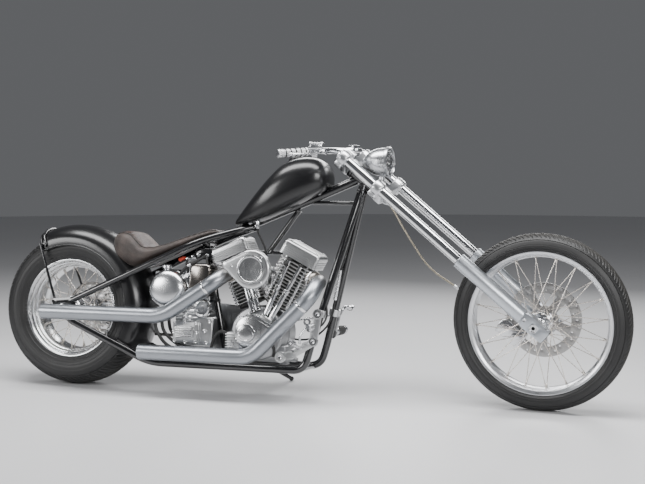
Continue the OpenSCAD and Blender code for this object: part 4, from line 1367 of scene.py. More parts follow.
soot = finish("soot", soot_look)
for name, route, stands_for in (
    ("exhaust_upper_pipe", UPPER_PIPE, "exhaust_upper"),
    ("exhaust_lower_pipe", LOWER_PIPE, "exhaust_lower"),
):
    port = route[-1]
    satin = finish(name + "_steel", exhaust_look(port), Metallic=1.0)
    system = Piece(BIKE)
    mouth = Matrix.Translation(route[0]) @ Matrix.Rotation(pi / 2, 4, "Y")
    system.add(turned([(PIPE_R, 170), (PIPE_R, 0.9), (PIPE_R - 0.6, 0), (BORE_R + 0.5, 0), (BORE_R, 0.6)],
                      72), satin, mouth)
    system.add(turned([(BORE_R, 0.6), (BORE_R, BORE_DEEP), (0, BORE_DEEP)], 72), soot, mouth)
    line = [Vector(route[0]) + Vector((160, 0, 0)), *[Vector(p) for p in route[1:]]]
    system.add(pipe(bent(line, 52, 12), PIPE_R, 56), satin)
    back = (Vector(route[-2]) - Vector(port)).normalized()
    system.add(turned([(32, -9), (35.4, -7.4), (36.2, -3), (36.2, 6), (34.5, 9), (32, 10)], 56), satin,
               facing(Vector(port) + back * 26, back))
    flange = plate([bent([(44, 0, 0), (18, 37, 0), (-18, 37, 0), (-44, 0, 0), (-18, -37, 0),
                          (18, -37, 0)], 12, 4, closed=True)],
                   8, 1.5)
    system.add(flange, bright_alloy, facing(Vector(port) + back * 8, back))
    for way in (-1, 1):
        stud = facing(Vector(port) + back * 16, back) @ placed(way * 37, 0, 0)
        system.add(bolt_head(7, 8), bright_alloy, stud)
    system.done(name, "frame", "brushed_steel", stands_for)
joint_rings = Piece(BIKE)
for place in ((700, -178, 464), (1106, -180, 410)):
    before = Vector((222, 12, 149)) if place[0] < 900 else Vector((240, 10, 248))
    joint_rings.add(turned([(31.6, -6), (33, -5), (33.6, -2), (33.6, 2), (33, 5), (31.6, 6)], 56),
                    bright_alloy,
                    facing(Vector(place) - before.normalized() * 42, before))
joint_rings.done("exhaust_joint_rings", "frame", "brushed_steel")

# ---------- Oil tank ----------
# A spun aluminium drum across the frame behind the engine, with a domed right end, a rolled seam and a
# screw cap. Rubber hoses run from its foot to the pump.
OIL_X, OIL_Z = 470, 427


def drum_look(spot):
    own = spot.seen_from(BIKE)
    lines = own.stretched(0.5, 0.02, 0.02).noise(1.0, 3, 0.6)
    haze = spot.noise(12, 4, 0.6)
    return {
        "Base Color": (0.3 * lines + 0.7 * haze).tint((0.62, 0.63, 0.65), (0.86, 0.87, 0.88)),
        "Roughness": 0.15 + 0.12 * haze + 0.06 * lines,
        "Normal": lines.bump(0.00003),
    }


drum_alloy = finish("drum_alloy", drum_look, Metallic=1.0)
oil = Piece(BIKE)
drum = [(0, -150.6), (22, -150), (42, -147.6), (58, -143.2), (70, -136.6), (78, -128), (82.5, -117),
        (84, -106),
        (84.0, -96)]
oil.add(turned([*smooth_through(drum, 4), (85.4, -95), (86, -92), (85.4, -89), (84, -88), (84, 84),
                (85.4, 85), (86, 88),
                (85.4, 91), (84, 92), (80, 98), (60, 100), (0, 100)], 96), drum_alloy,
                to_left(OIL_X, 0, OIL_Z))
cap = placed(452, -88, OIL_Z + 76)
oil.add(turned([(0, 30), (12, 29.5), (17, 28), (18.6, 25.5), (18.6, 14), (15, 12), (15, 0), (0, 0)], 48),
        bright_alloy, cap)
oil.add(rod((0.0, 0, 25), (1.4, 0, 25), 1, sides=8), bright_alloy, cap)
for k in range(20):
    oil.add(rod((18.4, 0, 15.5), (18.4, 0, 25), 1.1, sides=6), bright_alloy,
            cap @ Matrix.Rotation(tau * k / 20, 4, "Z"))
for x, z in ((400, 480), (548, 470)):
    oil.add(block((x - 9, -70, z - 12), (x + 9, -50, z + 24), 3), bright_alloy)
    oil.add(cap_screw(6, 5), chrome, to_right(x, -70, z + 14))
oil.done("oil_tank_spun", "frame", "polished_aluminium", "oil_tank", crease=40)
hoses = Piece(BIKE)
for y, start, low in ((-124, 424, 196), (-104, 446, 208), (-84, 470, 220)):
    run = [(start, y, 352), (start - 4, y, 306), (start + 6, y, 256), (start + 40, y, low + 12),
           (start + 84, y, low - 14),
           (start + 130, y, low - 32), (start + 200, y + 20, low - 44)]
    hoses.add(pipe(smooth_through(run, 10), 7.2, 18), seal_rubber)
    hoses.add(turned([(7, -9), (9, -9), (9.4, 0), (9, 9), (7, 9)], 24), bright_alloy,
              placed(start, y, 338))
hoses.done("oil_hoses", "frame", "hose_rubber")

# ---------- Crankcase ----------
# Two halves cast in aluminium and bolted together, bead-blasted, with machined joint faces. The finish of
# every casting here is the same: soft, slightly grainy, darker where oil and dust have dried.
CRANK_X, CRANK_Z = 862, 258
CYLINDER_LEAN = 25


def casting_look(light, gloss, grime=0.5, relief=0.00012):
    """Cast aluminium, darker where it is stained, with a grain of the given depth."""

    def look(spot):
        grain = spot.noise(900, 4, 0.7)
        cloud = spot.noise(11, 5, 0.65)
        stain = spot.stretched(26, 26, 9).noise(1.0, 5, 0.7).step(0.5, 0.76)
        base = (0.6 * cloud + 0.4 * grain).tint(tuple(c * 0.78 for c in light), light)
        return {
            "Base Color": (stain * grime).over(base, tuple(c * 0.4 for c in light)),
            "Roughness": gloss + 0.12 * cloud + 0.14 * stain,
            "Normal": grain.bump(relief),
        }

    return look


cast_alloy = finish("cast_alloy", casting_look((0.44, 0.445, 0.455), 0.36), Metallic=1.0)
satin_alloy = finish("satin_alloy", casting_look((0.66, 0.665, 0.67), 0.23, 0.15, 0.00002), Metallic=1.0)
polished_cast = finish("polished_cast", casting_look((0.72, 0.725, 0.73), 0.13, 0.1, 0.00001),
                       Metallic=1.0)


def rounded(corners, radius, steps=6):
    """A flat outline whose corners are rounded."""
    return [(p[0], p[1]) for p in bent([(x, y, 0) for x, y in corners], radius, steps, closed=True)]


case = Piece(BIKE)
crank = to_left(CRANK_X, 0, CRANK_Z)
case.add(turned([(0, -92), (104, -92), (109, -90), (112, -86), (112, -5), (115, -4), (115, 4), (112, 5),
                 (112, 86),
                 (109, 90), (104, 92), (70, 92), (70, 124), (0, 124)], 96), cast_alloy, crank)
case.add(block((738, -78, 143), (986, 78, 212), 8), cast_alloy)
case.add(block((792, -88, 198), (932, 88, 352), 14, 4), cast_alloy)
for x in (748, 976):
    for side in (-1, 1):
        case.add(block((x - 16, side * 60 - 18, 136), (x + 16, side * 60 + 18, 152), 3), cast_alloy)
        case.add(bolt_head(8, 7), chrome, placed(x, side * 60, 152))
for radius, angle in ((106, -28), (106, -62), (106, -95), (106, -130), (106, 200), (106, 168)):
    a = radians(angle)
    spot = (CRANK_X + radius * cos(a), CRANK_Z + radius * sin(a))
    case.add(rod((spot[0], -22, spot[1]), (spot[0], 22, spot[1]), 9.5, edge=1), cast_alloy)
    case.add(cap_screw(5.5, 5), chrome, to_right(spot[0], -22, spot[1]), to_left(spot[0], 22, spot[1]))
case.done("engine_case_cast", "frame", "cast_aluminium", "engine_case", crease=40)

# ---------- Cylinders ----------
# Cast iron barrels under alloy heads, with thin round cooling fins, painted silver. The core between the
# fins is coloured near-black as painted shade. Long studs hold them down, and a spark plug is screwed
# into the right side of each head.
FIN_R = 74


def on_barrel(front):
    """The place on the crank's middle whose z runs up a cylinder's bore."""
    return placed(CRANK_X, 0, CRANK_Z) @ Matrix.Rotation(radians(front * CYLINDER_LEAN + 2), 4, "Y")


def fin_look(spot):
    grain = spot.noise(700, 3, 0.6)
    dust = spot.noise(22, 5, 0.7)
    return {
        "Base Color": (0.5 * dust + 0.5 * grain).tint((0.46, 0.455, 0.45), (0.70, 0.70, 0.70)),
        "Roughness": 0.34 + 0.18 * dust,
        "Normal": grain.bump(0.00012),
    }


fin_alloy = finish("fin_alloy", fin_look, Metallic=1.0)
# Near-black painted shade for the barrel's core, standing in for the shadow in the gaps between the fins.
fin_gap_painted_shade = finish("fin_gap_painted_shade", lambda spot: {
    "Base Color": spot.noise(30, 4).tint((0.02, 0.02, 0.021), (0.06, 0.058, 0.055)),
    "Roughness": 0.5 + 0.3 * spot.noise(40, 3),
})
head_outline = rounded([(78, 66), (-78, 66), (-78, -66), (78, -66)], 26)
for name, front in (("cylinder_front", 1), ("cylinder_rear", -1)):
    barrel = Piece(BIKE)
    place = on_barrel(front)
    # The barrel's core, in painted shade between the fins.
    barrel.add(turned([(0, 128), (58, 128), (60, 130), (60, 134), (54, 135), (54, 336), (0, 336)], 72),
               fin_gap_painted_shade, place)
    for k in range(9):
        z = 138 + 14 * k
        barrel.add(turned([(52, z + 0.2), (FIN_R - 1.2, z + 1.1), (FIN_R, z + 1.9), (FIN_R, z + 3.4),
                           (FIN_R - 1.2, z + 4.2),
                           (52, z + 5.2)], 80, closed=True), fin_alloy, place)
    for k in range(5):
        reach = 1 - 0.012 * abs(k - 2)
        fin = plate([[(x * reach, y * reach) for x, y in head_outline]], 4.6, 1.0)
        barrel.add(fin, fin_alloy, place @ placed(0, 0, 264 + 15 * k))
    for x in (-50, 50):
        for y in (-44, 44):
            barrel.add(rod((x, y, 140), (x, y, 338), 6.2, sides=20), bright_alloy, place)
    bmesh.ops.bisect_plane(
        barrel.whole, geom=barrel.whole.verts[:] + barrel.whole.edges[:] + barrel.whole.faces[:],
        plane_co=(CRANK_X + 1.5 * front, 0, CRANK_Z), plane_no=(-front * 0.9994, 0, front * 0.0349),
        clear_outer=True,
    )
    plug = place @ placed(-24 * front, -60, 300) @ Matrix.Rotation(radians(72), 4, "X")
    barrel.add(rod((0, 0, 0), (0, 0, 14), 9.5, sides=6, edge=0.8), bright_alloy, plug)
    barrel.add(turned([(0, 12), (7.5, 12), (7.5, 32), (8.6, 33), (8.6, 56), (6, 60), (0, 60)], 28),
               seal_rubber, plug)
    barrel.done(name, "frame", "cast_aluminium", *(["cylinders"] if front > 0 else []), crease=40)

# ---------- Rocker boxes ----------
# Cast aluminium covers split in layers that leave three or four fine grooves, satin all over, with
# rounded tops. Each is held down by socket screws at its corners.
def stacked(outline, levels):
    """A body drawn up from one flat outline, whose levels give its height and its two scales there."""
    shape = bmesh.new()
    base, wide, deep = levels[0]
    ring = [shape.verts.new((x * wide, y * deep, base)) for x, y in outline]
    edges = [shape.edges.new(pair) for pair in zip(ring, ring[1:] + ring[:1])]
    for (low, wide, deep), (high, wider, deeper) in zip(levels, levels[1:]):
        drawn = bmesh.ops.extrude_edge_only(shape, edges=edges)["geom"]
        ring = [g for g in drawn if isinstance(g, bmesh.types.BMVert)]
        edges = [g for g in drawn if isinstance(g, bmesh.types.BMEdge)]
        bmesh.ops.scale(shape, vec=(wider / wide, deeper / deep, 1), verts=ring)
        bmesh.ops.translate(shape, vec=(0, 0, high - low), verts=ring)
    bmesh.ops.holes_fill(shape, edges=[e for e in shape.edges if e.is_boundary], sides=0)
    bmesh.ops.recalc_face_normals(shape, faces=shape.faces)
    return shape


ROCKER_LEVELS = [(340, 84, 68), (341, 86, 70)]
for groove in (348, 356, 364, 372):
    ROCKER_LEVELS += [(groove, 86, 70), (groove + 0.6, 82, 66), (groove + 2.8, 82, 66),
                      (groove + 3.4, 86, 70)]
ROCKER_LEVELS += [(388, 85.4, 69.4), (394, 84, 68), (399, 80, 64), (402.4, 74, 58), (404, 66, 50)]
square = rounded([(1, 1), (-1, 1), (-1, -1), (1, -1)], 0.2, 8)
for name, front in (("rocker_box_front", 1), ("rocker_box_rear", -1)):
    box = Piece(BIKE)
    place = on_barrel(front)
    cover = stacked(square, ROCKER_LEVELS)
    box.add(cover, satin_alloy, place)
    for x in (-66, 66):
        for y in (-52, 52):
            box.add(cap_screw(6, 4), chrome, place @ placed(x * 0.92, y * 0.86, 402))
    box.done(name, "frame", "cast_aluminium", *(["rocker_boxes"] if front > 0 else []), crease=40)

# ---------- Pushrod tubes ----------
# Two chromed steel tubes for each cylinder, sliding one in another, sealed with rubber at both ends.
tubes = Piece(BIKE)
for front in (1, -1):
    place = on_barrel(front)
    for start_x, end_x in ((1, -26), (27, 30)) if front > 0 else ((22, 26), (48, 52)):
        foot, top = Vector((start_x, -106, 84)), Vector((end_x, -70, 337))
        middle = foot.lerp(top, 0.52)
        tubes.add(rod(foot, middle, 11, sides=32, edge=0.6), chrome, place)
        tubes.add(rod(middle, top, 8.8, sides=32), chrome, place)
        tubes.add(rod(foot.lerp(top, 0.47), foot.lerp(top, 0.53), 12.4, sides=32, edge=1.2), chrome,
                  place)
        for share in (0.0, 0.96):
            tubes.add(rod(foot.lerp(top, share), foot.lerp(top, share + 0.04), 11, sides=32, edge=1.4),
                      seal_rubber, place)
tubes.done("pushrod_tubes", "frame", "chromed_steel")

# ---------- Cam cover ----------
# Polished cast aluminium, with a pointed oval outline over the gears, socket screws round it, the tappet
# blocks on top and a round ignition cover at its middle.
cam = Piece(BIKE)


def hull_outline(circles, steps=40):
    """The outline that wraps round some circles, as seen from the right: x ahead, y up."""
    points = [(x + r * cos(tau * k / steps), y + r * sin(tau * k / steps)) for x, y,
              r in circles for k in range(steps)]
    points.sort()
    chains = []
    for run in (points, points[::-1]):
        chain = []
        for p in run:
            while len(chain) > 1 and (chain[-1][0] - chain[-2][0]) * (p[1] - chain[-2][1]) <= (
                chain[-1][1] - chain[-2][1]) * (p[0] - chain[-2][0]):
                chain.pop()
            chain.append(p)
        chains += chain[:-1]
    return chains


CAM_CIRCLES = [(853, 262, 73), (930, 284, 18)]
on_case = placed(0, -96, 0) @ Matrix.Rotation(pi / 2, 4, "X")
cam.add(plate([hull_outline([(x, z, r + 6) for x, z, r in CAM_CIRCLES])], 10, 1.2), cast_alloy, on_case)
cam.add(plate([hull_outline(CAM_CIRCLES)], 38, 7), polished_cast, on_case)
raised = [(850, 262, 62), (922, 282, 12)]
cam.add(plate([hull_outline(raised)], 4, 1.8), polished_cast, on_case @ placed(0, 0, 37))
cam.add(turned([(39, -3), (39, 7), (37.5, 10), (34, 11.5), (29, 12), (27.6, 11), (26, 11.4), (12, 12.2),
                (0, 12.3)], 72),
        polished_cast, to_right(832, -134, 260))
for k in range(2):
    cam.add(cap_screw(3.2, 1.6), chrome, to_right(832 + 32 * (1 - 2 * k), -145.2, 260 + 2 * k))
screw_line = hull_outline([(x, z, r + 1) for x, z, r in CAM_CIRCLES])
total = len(screw_line)
for k in range(9):
    x, z = screw_line[int(total * (k + 0.5) / 9)]
    cam.add(rod((x, -98, z), (x, -124, z), 8, sides=24, edge=1.2), polished_cast)
    cam.add(cap_screw(5, 4.5), chrome, to_right(x, -124, z))
for front in (1, -1):
    place = on_barrel(front)
    cam.add(block((front * 14 - 27, -122, 62), (front * 14 + 27, -90, 86), 5), satin_alloy, place)
    for x in (-6, 34):
        cam.add(cap_screw(4.4, 4), chrome, place @ placed(front * x, -117, 86))
cam.done("cam_cover_polished", "frame", "polished_aluminium", "cam_cover", crease=34)

# ---------- Oil pump ----------
# A cast body with fins across it under the cam cover, and two hose nipples with brass unions.
pump = Piece(BIKE)
pump.add(block((744, -126, 192), (818, -96, 262), 4), satin_alloy)
for k in range(6):
    z = 198 + 10.6 * k
    pump.add(block((741, -136, z), (800, -100, z + 5), 1.6), satin_alloy)
for x in (762, 800):
    pump.add(rod((x, -118, 196), (x, -118, 178), 7, sides=6, edge=0.8), bright_alloy)
    pump.add(rod((x, -118, 180), (x, -118, 166), 5.4, sides=24, edge=0.6), chrome)
pump.add(pipe(smooth_through([(746, -112, 250), (716, -110, 262), (690, -104, 246), (668, -98, 204),
                              (664, -90, 170)], 8), 7, 18), seal_rubber)
pump.add(pipe(smooth_through([(930, -112, 236), (944, -124, 218), (950, -124, 196), (944, -108, 178),
                              (930, -70, 168)], 8),
              6.5, 18), seal_rubber)
pump.add(rod((922, -100, 240), (934, -118, 230), 8, sides=6, edge=0.8), bright_alloy)
pump.done("oil_pump_finned", "frame", "cast_aluminium")

# ---------- Air cleaner ----------
# A cast and polished teardrop cover held by three screws on a pleated paper filter, with a backing plate
# and a throat that leads to the carburettor between the cylinders. Its raised disc is left blank.
AIR_X, AIR_Z = 866, 521
air = Piece(BIKE)
air_place = to_right(AIR_X, -132, AIR_Z)
drop = hull_outline([(0, 0, 80), (-114, 18, 14)], 72)


def filter_look(spot):
    fibre = spot.noise(300, 4, 0.7)
    return {"Base Color": fibre.tint((0.28, 0.25, 0.19), (0.5, 0.46, 0.38)),
            "Roughness": 0.75 + 0.2 * fibre}


paper = finish("paper", filter_look)
air.add(turned([(0, 0), (66, 0), (68, 2), (68, 5), (66, 7), (0, 7)], 72), bright_alloy, air_place)
pleats = [((62 if k % 2 else 55) * cos(tau * k / 150), (62 if k % 2 else 55) * sin(tau * k / 150))
          for k in range(150)]
air.add(plate([pleats], 34, 0), paper, air_place @ placed(0, 0, 6.5))
dome = stacked(drop, [
    (z, share, share) for z, share in (
        (38, 1.0), (54, 1.0), (57, 0.992), (60, 0.97), (62.4, 0.93), (63.8, 0.87), (64.4, 0.8),
        (64.6, 0.5))])
air.add(dome, satin_alloy, air_place)
air.add(turned([(58, 62), (58, 69), (56.4, 71), (53, 71.8), (50, 71.2), (48.5, 69.6), (46, 69.2),
                (0, 69.4)], 96),
        polished_cast, air_place)
for x, y in ((44, 50), (44, -50), (-82, 12)):
    air.add(cap_screw(4.6, 3), chrome, air_place @ placed(x, y, 63))
air.add(rod((868, -132, 512), (868, -34, 512), 24, 22, 40), cast_alloy)
air.add(turned([(24, 0), (30, 1), (30, 7), (24, 8)], 40), bright_alloy, to_right(868, -60, 512),
        to_right(868, -98, 512))
air.done("air_cleaner_teardrop", "frame", "polished_aluminium", "air_cleaner", crease=36)

# ---------- Transmission ----------
# A cast aluminium gearbox in natural satin, with a ribbed rounded side cover screwed on its right side and
# a finned trapdoor round the shaft. It is bolted to the frame on a plate.
DRIVE_X, DRIVE_Z = 596, 262
gearbox = Piece(BIKE)
gearbox.add(block((502, -100, 162), (630, 96, 334), 9, 4), cast_alloy)
gearbox.add(block((502, -104, 192), (672, -46, 318), 10, 4), satin_alloy)
gearbox.add(block((494, -106, 158), (640, 96, 174), 3), cast_alloy)
side_cover = rounded([(56, 45), (-56, 45), (-56, -45), (56, -45)], 16)
cover_place = to_right(560, -103, 253)
gearbox.add(plate([[(x * 1.05, y * 1.06) for x, y in side_cover]], 8, 1.2), satin_alloy, cover_place)
gearbox.add(plate([side_cover], 25, 4), satin_alloy, cover_place)
panel = rounded([(44, 25), (-44, 25), (-44, -25), (44, -25)], 14)
gearbox.add(plate([panel], 9, 2.5), satin_alloy, cover_place @ placed(-4, 0, 24))
for k in range(5):
    gearbox.add(rod((520, -137.5, 235 + 9 * k), (592, -137.5, 235 + 9 * k), 2.6, sides=16, edge=1),
                polished_cast)
for x, z in ((-48, -38), (0, -41), (48, -38), (-48, 38), (0, 41), (48, 38), (-52, 0), (52, 0)):
    gearbox.add(rod((0, 0, 6), (0, 0, 27), 7, sides=24, edge=1), satin_alloy,
                cover_place @ placed(x, z, 0))
    gearbox.add(cap_screw(4.6, 4), chrome, cover_place @ placed(x, z, 27))
gearbox.add(turned([(0, 0), (37, 0), (37, 18), (34, 23), (28, 25), (26, 22), (12, 21), (10, 24), (0, 24)],
                   64), polished_cast,
            to_right(622, -84, 352))
for place in bolts(31, 0, 0, 5, 24):
    gearbox.add(cap_screw(3.6, 3), chrome, to_right(622, -84, 352) @ place)
gearbox.add(pipe(bent([(560, -118, 312), (560, -128, 334), (590, -124, 344), (600, -108, 344)], 12), 6,
                 18), bright_alloy)
for x in (548, 572):
    gearbox.add(rod((x, -112, 300), (x, -112, 322), 7, sides=6, edge=0.8), bright_alloy)
for x, z in ((648, 212), (660, 300), (640, 260)):
    gearbox.add(rod((x, -100, z), (x, -110, z), 9, sides=24, edge=1), satin_alloy)
    gearbox.add(cap_screw(5.4, 5), chrome, to_right(x, -110, z))
gearbox.add(block((520, -60, 330), (612, 60, 346), 5), satin_alloy)
for x in (530, 602):
    for y in (-50, 50):
        gearbox.add(cap_screw(5.5, 5), chrome, placed(x, y, 346))
gearbox.add(turned([(30, 0), (30, 27), (0, 27)], 48), ground_steel, to_left(DRIVE_X, 97, DRIVE_Z))
sprocket_teeth = [(46 if k % 4 in (1, 2) else 39) for k in range(80)]
gearbox.add(plate([[(r * cos(tau * k / 80), r * sin(tau * k / 80)) for k,
                    r in enumerate(sprocket_teeth)]], 5, 0.8),
            ground_steel, to_left(DRIVE_X, 107.5, DRIVE_Z))
gearbox.done("transmission_cast", "frame", "cast_aluminium", "transmission", crease=36)

# ---------- Starter motor and its cover ----------
# A drawn steel cylinder with a cast end, lying across the frame over the gearbox, and above it a dark
# chromed sheet cover with rounded corners, which hides the wiring between oil tank and rear cylinder.
smoked_chrome = finish("smoked_chrome", lambda spot: {
    "Base Color": spot.noise(8, 4, 0.6).tint((0.16, 0.145, 0.13), (0.30, 0.28, 0.265)),
    "Roughness": 0.1 + 0.12 * spot.noise(14, 4),
}, Metallic=1.0)
starter = Piece(BIKE)
starter_place = to_right(600, -10, 398)
starter.add(turned([(0, -60), (34, -60), (36, -57), (36, 44), (34.5, 45), (34.5, 47), (36, 48), (36, 60),
                    (34, 64), (28, 67),
                    (12, 68), (0, 68)], 80), chrome, starter_place)
hood = rounded([(50, 74), (-46, 74), (-52, -66), (46, -66)], 30, 8)
starter.add(stacked(hood, [(0, 1, 1), (58, 1, 1), (68, 0.985, 0.99), (76, 0.94, 0.96), (80, 0.87, 0.91),
                           (82, 0.76, 0.83)]),
            smoked_chrome, to_right(608, -26, 466))
starter.add(block((566, -72, 340), (628, -10, 374), 6), cast_alloy)
starter.add(block((560, 10, 340), (640, 70, 392), 8), cast_alloy)
starter.done("starter_motor_and_cover", "frame", "chromed_steel")

# ---------- Primary cover ----------
# A long polished aluminium cover over the belt between the crankshaft and the clutch, on the left, with a
# raised border, two round bosses and socket screws round its edge.
primary = Piece(BIKE)
primary_circles = [(CRANK_X, -CRANK_Z, 90), (DRIVE_X, -DRIVE_Z, 108)]
on_left = to_left(0, 0, 0)
primary.add(plate([hull_outline(primary_circles)], 10, 1.2), cast_alloy, placed(0, 124, 0) @ on_left)
primary.add(plate([hull_outline([(x, z, r - 1.5) for x, z, r in primary_circles])], 36, 9), polished_cast,
            placed(0, 134, 0) @ on_left)
for x, z, r, deep in ((DRIVE_X, DRIVE_Z, 66, 11), (CRANK_X, CRANK_Z, 48, 8)):
    primary.add(turned([(r, 0), (r, deep - 4), (r - 2, deep - 1), (r - 6, deep), (r - 10, deep - 0.8),
                        (r - 13, deep - 3),
                        (r * 0.4, deep - 3.4), (0, deep - 3)], 96), polished_cast, to_left(x, 169.6, z))
    for place in bolts(r - 6, 0, 0, 5, deep - 0.4, 0.5):
        primary.add(cap_screw(3.6, 2), chrome, to_left(x, 169.6, z) @ place)
edge_line = hull_outline([(x, z, r - 13) for x, z, r in primary_circles])
for k in range(12):
    x, z = edge_line[int(len(edge_line) * (k + 0.5) / 12)]
    primary.add(cap_screw(5, 3.4), chrome, placed(0, 169.6, 0) @ on_left @ placed(x, z, 0))
primary.add(block((672, 110, 176), (760, 128, 330), 4), cast_alloy)
primary.done("primary_cover_polished", "frame", "polished_aluminium", "primary_cover", crease=34)

# ---------- Drive chain and sprockets ----------
# A roller chain of stamped side plates and pins, oiled and dull, which runs on a hardened steel sprocket.
# The sprocket is ground flat, drilled, and serves as the rear brake's disc too.
CHAIN_Y, PITCH = 110, 15.875
REAR_PITCH_R, FRONT_PITCH_R = 104, 46


def oiled_look(spot):
    oil = spot.noise(55, 5, 0.7)
    return {
        "Base Color": oil.tint((0.10, 0.095, 0.09), (0.36, 0.35, 0.34)),
        "Roughness": 0.28 + 0.3 * oil,
        "Normal": oil.bump(0.0001),
    }


oiled_steel = finish("oiled_steel", oiled_look, Metallic=1.0)
rear_centre, drive_centre = Vector((0, REAR_R)), Vector((DRIVE_X, DRIVE_Z))
span = drive_centre - rear_centre
tilt = atan2(span.y, span.x)
spread = atan2((span.length ** 2 - (REAR_PITCH_R - FRONT_PITCH_R) ** 2) ** 0.5,
               REAR_PITCH_R - FRONT_PITCH_R)


def chain_point(centre, radius, angle):
    return centre + Vector((cos(angle), sin(angle))) * radius


run = [chain_point(rear_centre, REAR_PITCH_R, tilt + spread + (tau - 2 * spread) * k / 80)
       for k in range(81)]
run += [chain_point(drive_centre, FRONT_PITCH_R, tilt - spread + 2 * spread * k / 60) for k in range(61)]
run.append(run[0])
lengths = [(b - a).length for a, b in zip(run, run[1:])]
links = 2 * round(sum(lengths) / PITCH / 2)
pins = []
for k in range(links):
    left = sum(lengths) * k / links
    for a, b, length in zip(run, run[1:], lengths):
        if left <= length:
            pins.append(a.lerp(b, left / length if length else 0))
            break
        left -= length
chain = Piece(BIKE)
side_plate = hull_outline([(0, 0, 6.6), (PITCH, 0, 6.6)], 16)
for k, pin in enumerate(pins):
    following = pins[(k + 1) % links]
    heading = atan2(following.y - pin.y, following.x - pin.x)
    offset = 3.4 if k % 2 else 1.9
    for way in (-1, 1):
        place = (
            placed(pin.x, CHAIN_Y + way * offset - 0.7, pin.y) @ Matrix.Rotation(-heading, 4, "Y")
            @ Matrix.Rotation(-pi / 2, 4, "X")
        )
        chain.add(plate([side_plate], 1.4, 0), oiled_steel, place)
    chain.add(rod((pin.x, CHAIN_Y - 5, pin.y), (pin.x, CHAIN_Y + 5, pin.y), 2.4, sides=12), oiled_steel)
chain.done("drive_chain_links", "frame", "brushed_steel", "drive_chain")

sprocket = Piece(REAR_WHEEL)
TEETH = 41
teeth = []
for k in range(TEETH):
    for share, radius in ((0.0, 98), (0.14, 99), (0.3, 106), (0.42, 108), (0.58, 108), (0.7, 106),
                          (0.86, 99)):
        a = tau * (k + share) / TEETH
        teeth.append((radius * cos(a), radius * sin(a)))
holes = [ring_of(x, y, 6.5, 16) for x, y in (
    (74 * cos(tau * (k + 0.5) / 10), 74 * sin(tau * (k + 0.5) / 10)) for k in range(10))]
holes += [ring_of(86 * cos(tau * k / 20), 86 * sin(tau * k / 20), 4, 12) for k in range(20)]
sprocket.add(plate([teeth, ring_of(0, 0, 22, 48), *holes], 5, 0.5), ground_steel, placed(0, 0, 107.5))
for place in bolts(50, 0, 0, 5, 112.5):
    sprocket.add(bolt_head(8, 7), chrome, place)
sprocket.done("rear_sprocket_disc", "rear_wheel", "brushed_steel", "rear_sprocket")

# ---------- Rear caliper ----------
# A machined aluminium caliper of four pistons, in clear satin, on a bracket from the left axle plate.
rear_stop = Piece(BIKE)
rear_stop.add(block((54, 95, 298), (128, 106, 354), 5), clamp_alloy)
rear_stop.add(block((54, 114.5, 298), (128, 134, 354), 6), clamp_alloy)
rear_stop.add(block((104, 100, 302), (129, 130, 350), 5), clamp_alloy)
for x in (74, 106):
    rear_stop.add(turned([(15, 0), (15, 3), (13.5, 4.4), (9, 4.4), (8, 2.5), (0, 2.5)], 40), clamp_alloy,
                  to_left(x, 132.6, 326))
for x, z in ((60, 304), (60, 348), (122, 304), (122, 348)):
    rear_stop.add(cap_screw(5, 4), chrome, to_left(x, 133.6, z))
rear_stop.add(plate([rounded([(-8, 342), (66, 352), (66, 300), (-8, 312)], 8)], 6, 1), clamp_alloy,
              placed(14, 134, 0) @ Matrix.Rotation(pi / 2, 4, "X") @ Matrix.Scale(-1, 4, (0, 0, 1)))
rear_stop.done("rear_caliper_machined", "frame", "polished_aluminium", "rear_caliper")

# ---------- Axle plates and rear axle ----------
# Flame-cut steel plates welded to the frame's rear ends and painted with it, slotted for the axle. The
# axle is a chromed hollow bar with a plain head on the right and a nut on the left.
ends = Piece(BIKE)
END_CIRCLES = [(0, 332.5, 34), (40, 366, 16), (40, 286, 16), (-42, 362, 12)]
for side in (-1, 1):
    place = placed(0, 142 + 7, 0) @ Matrix.Rotation(pi / 2, 4, "X")
    if side < 0:
        place = placed(0, -135, 0) @ Matrix.Rotation(pi / 2, 4, "X")
    ends.add(plate([hull_outline(END_CIRCLES), ring_of(0, 332.5, 12.6, 40)], 14, 1.6), frame_paint, place)
ends.done("axle_plates_painted", "frame", "black_paint", "axle_plates")
spindle = Piece(REAR_WHEEL)
spindle.add(turned([(0, -157), (10, -157), (14, -156.8), (19, -156), (21.4, -154.6), (22, -152.6),
                    (22, -149.2), (12.4, -149.1),
                    (12.4, 164), (11.6, 164.6), (7, 164.6), (7, 60), (0, 60)], 64), chrome)
spindle.add(turned([(13, 149.2), (21.6, 149.2), (22.4, 151), (22.4, 152.4), (13, 152.6)], 48,
                   closed=True), bright_alloy)
spindle.add(plate([ring_of(0, 0, 21.5, 6), ring_of(0, 0, 12.6, 32)], 10.4, 1), chrome,
            placed(0, 0, 152.6))
spindle.done("rear_axle_chromed", "frame", "chromed_steel", "rear_axle")

# ---------- Forward controls ----------
# Machined aluminium arms clamped to the downtubes, with ringed ends. The right one carries the brake pedal
# and its master cylinder, the left one the gear lever, and both have fat pegs with rubber rings.
DOWN_LINE = DOWN_TOP - DOWN_FOOT


def on_downtube(height):
    """The point of the left downtube's middle at a height."""
    return DOWN_FOOT + DOWN_LINE * ((height - DOWN_FOOT.z) / DOWN_LINE.z)


